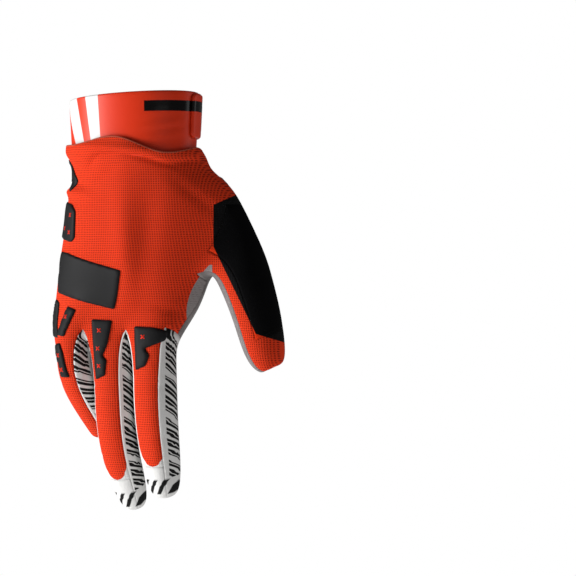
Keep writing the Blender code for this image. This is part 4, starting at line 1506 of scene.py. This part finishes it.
def build_camera() -> None:
    """A camera at the photo's angle, whose frame holds 2 * FRAME_MIDDLE pixels of PIXEL mm at the glove's axis."""
    right = np.array([np.cos(np.radians(VIEW_TURN)), np.sin(np.radians(VIEW_TURN)), 0.0])
    aim = right * (FRAME_MIDDLE - AXIS_PX[0]) * PIXEL * MM
    aim = aim + np.array([0.0, 0.0, -(FRAME_MIDDLE - AXIS_PX[1]) * PIXEL * MM])
    lens = bpy.data.cameras.new("camera")
    lens.sensor_width = SENSOR
    lens.lens = SENSOR * DISTANCE / (2.0 * FRAME_MIDDLE * PIXEL * MM)
    lens.clip_end = CLIP_END
    camera = bpy.data.objects.new("camera", lens)
    look(camera, aim + direction(VIEW_TURN, 0.0) * DISTANCE, aim)
    bpy.context.scene.camera = camera


def build_lamps() -> None:
    """The soft lamps, all turned to the middle of the glove."""
    middle = np.array([0.0, 0.0, LAMPS_LOOK_AT])
    for lamp in LAMPS:
        light = bpy.data.lights.new(lamp.name, "AREA")
        light.size = lamp.size
        light.energy = lamp.watts
        look(bpy.data.objects.new(lamp.name, light), middle + direction(lamp.turn, lamp.rise) * lamp.distance, middle)


def build_world() -> None:
    """A world that is white to the camera and lights the glove by AMBIENT only."""
    scene = bpy.context.scene
    world = bpy.data.worlds.new("studio")
    world.use_nodes = True
    tree = world.node_tree
    seen = tree.nodes.new("ShaderNodeLightPath").outputs["Is Camera Ray"]
    strength = tree.nodes.new("ShaderNodeMapRange")
    strength.inputs["To Min"].default_value = AMBIENT
    strength.inputs["To Max"].default_value = 1.0
    tree.links.new(seen, strength.inputs["Value"])
    tree.links.new(strength.outputs[0], tree.nodes["Background"].inputs[1])
    tree.nodes["Background"].inputs[0].default_value = (1.0, 1.0, 1.0, 1.0)
    scene.world = world
    scene.view_settings.view_transform = "Standard"


def build_floor() -> None:
    """A plain pale floor far below the glove, which hangs."""
    half, height = FLOOR_HALF, FLOOR_HEIGHT
    corners = [(-half, -half, height), (half, -half, height), (half, half, height), (-half, half, height)]
    mesh = bpy.data.meshes.new("floor")
    mesh.from_pydata(corners, [], [(0, 1, 2, 3)])
    floor = bpy.data.objects.new("floor", mesh)
    nodes = Nodes("floor")
    nodes.shader.inputs["Base Color"].default_value = linear("#F4F4F4")
    nodes.shader.inputs["Roughness"].default_value = 0.9
    nodes.shader.inputs["Emission Color"].default_value = linear("#FFFFFF")
    nodes.shader.inputs["Emission Strength"].default_value = 0.5
    mesh.materials.append(nodes.material)
    bpy.context.scene.collection.objects.link(floor)


def main() -> None:
    """Builds every piece and the studio."""
    logging.basicConfig(level=logging.INFO, format="%(message)s")
    skin = Skin(GloveSize())
    shell = Shell(skin)
    shell.build()
    shell.build_piping(radius=0.7, sides=10)
    PatchMaker(skin).build_all()
    Cuff(CUFF).build()
    build_camera()
    build_lamps()
    build_world()
    build_floor()


if __name__ == "__main__":
    main()
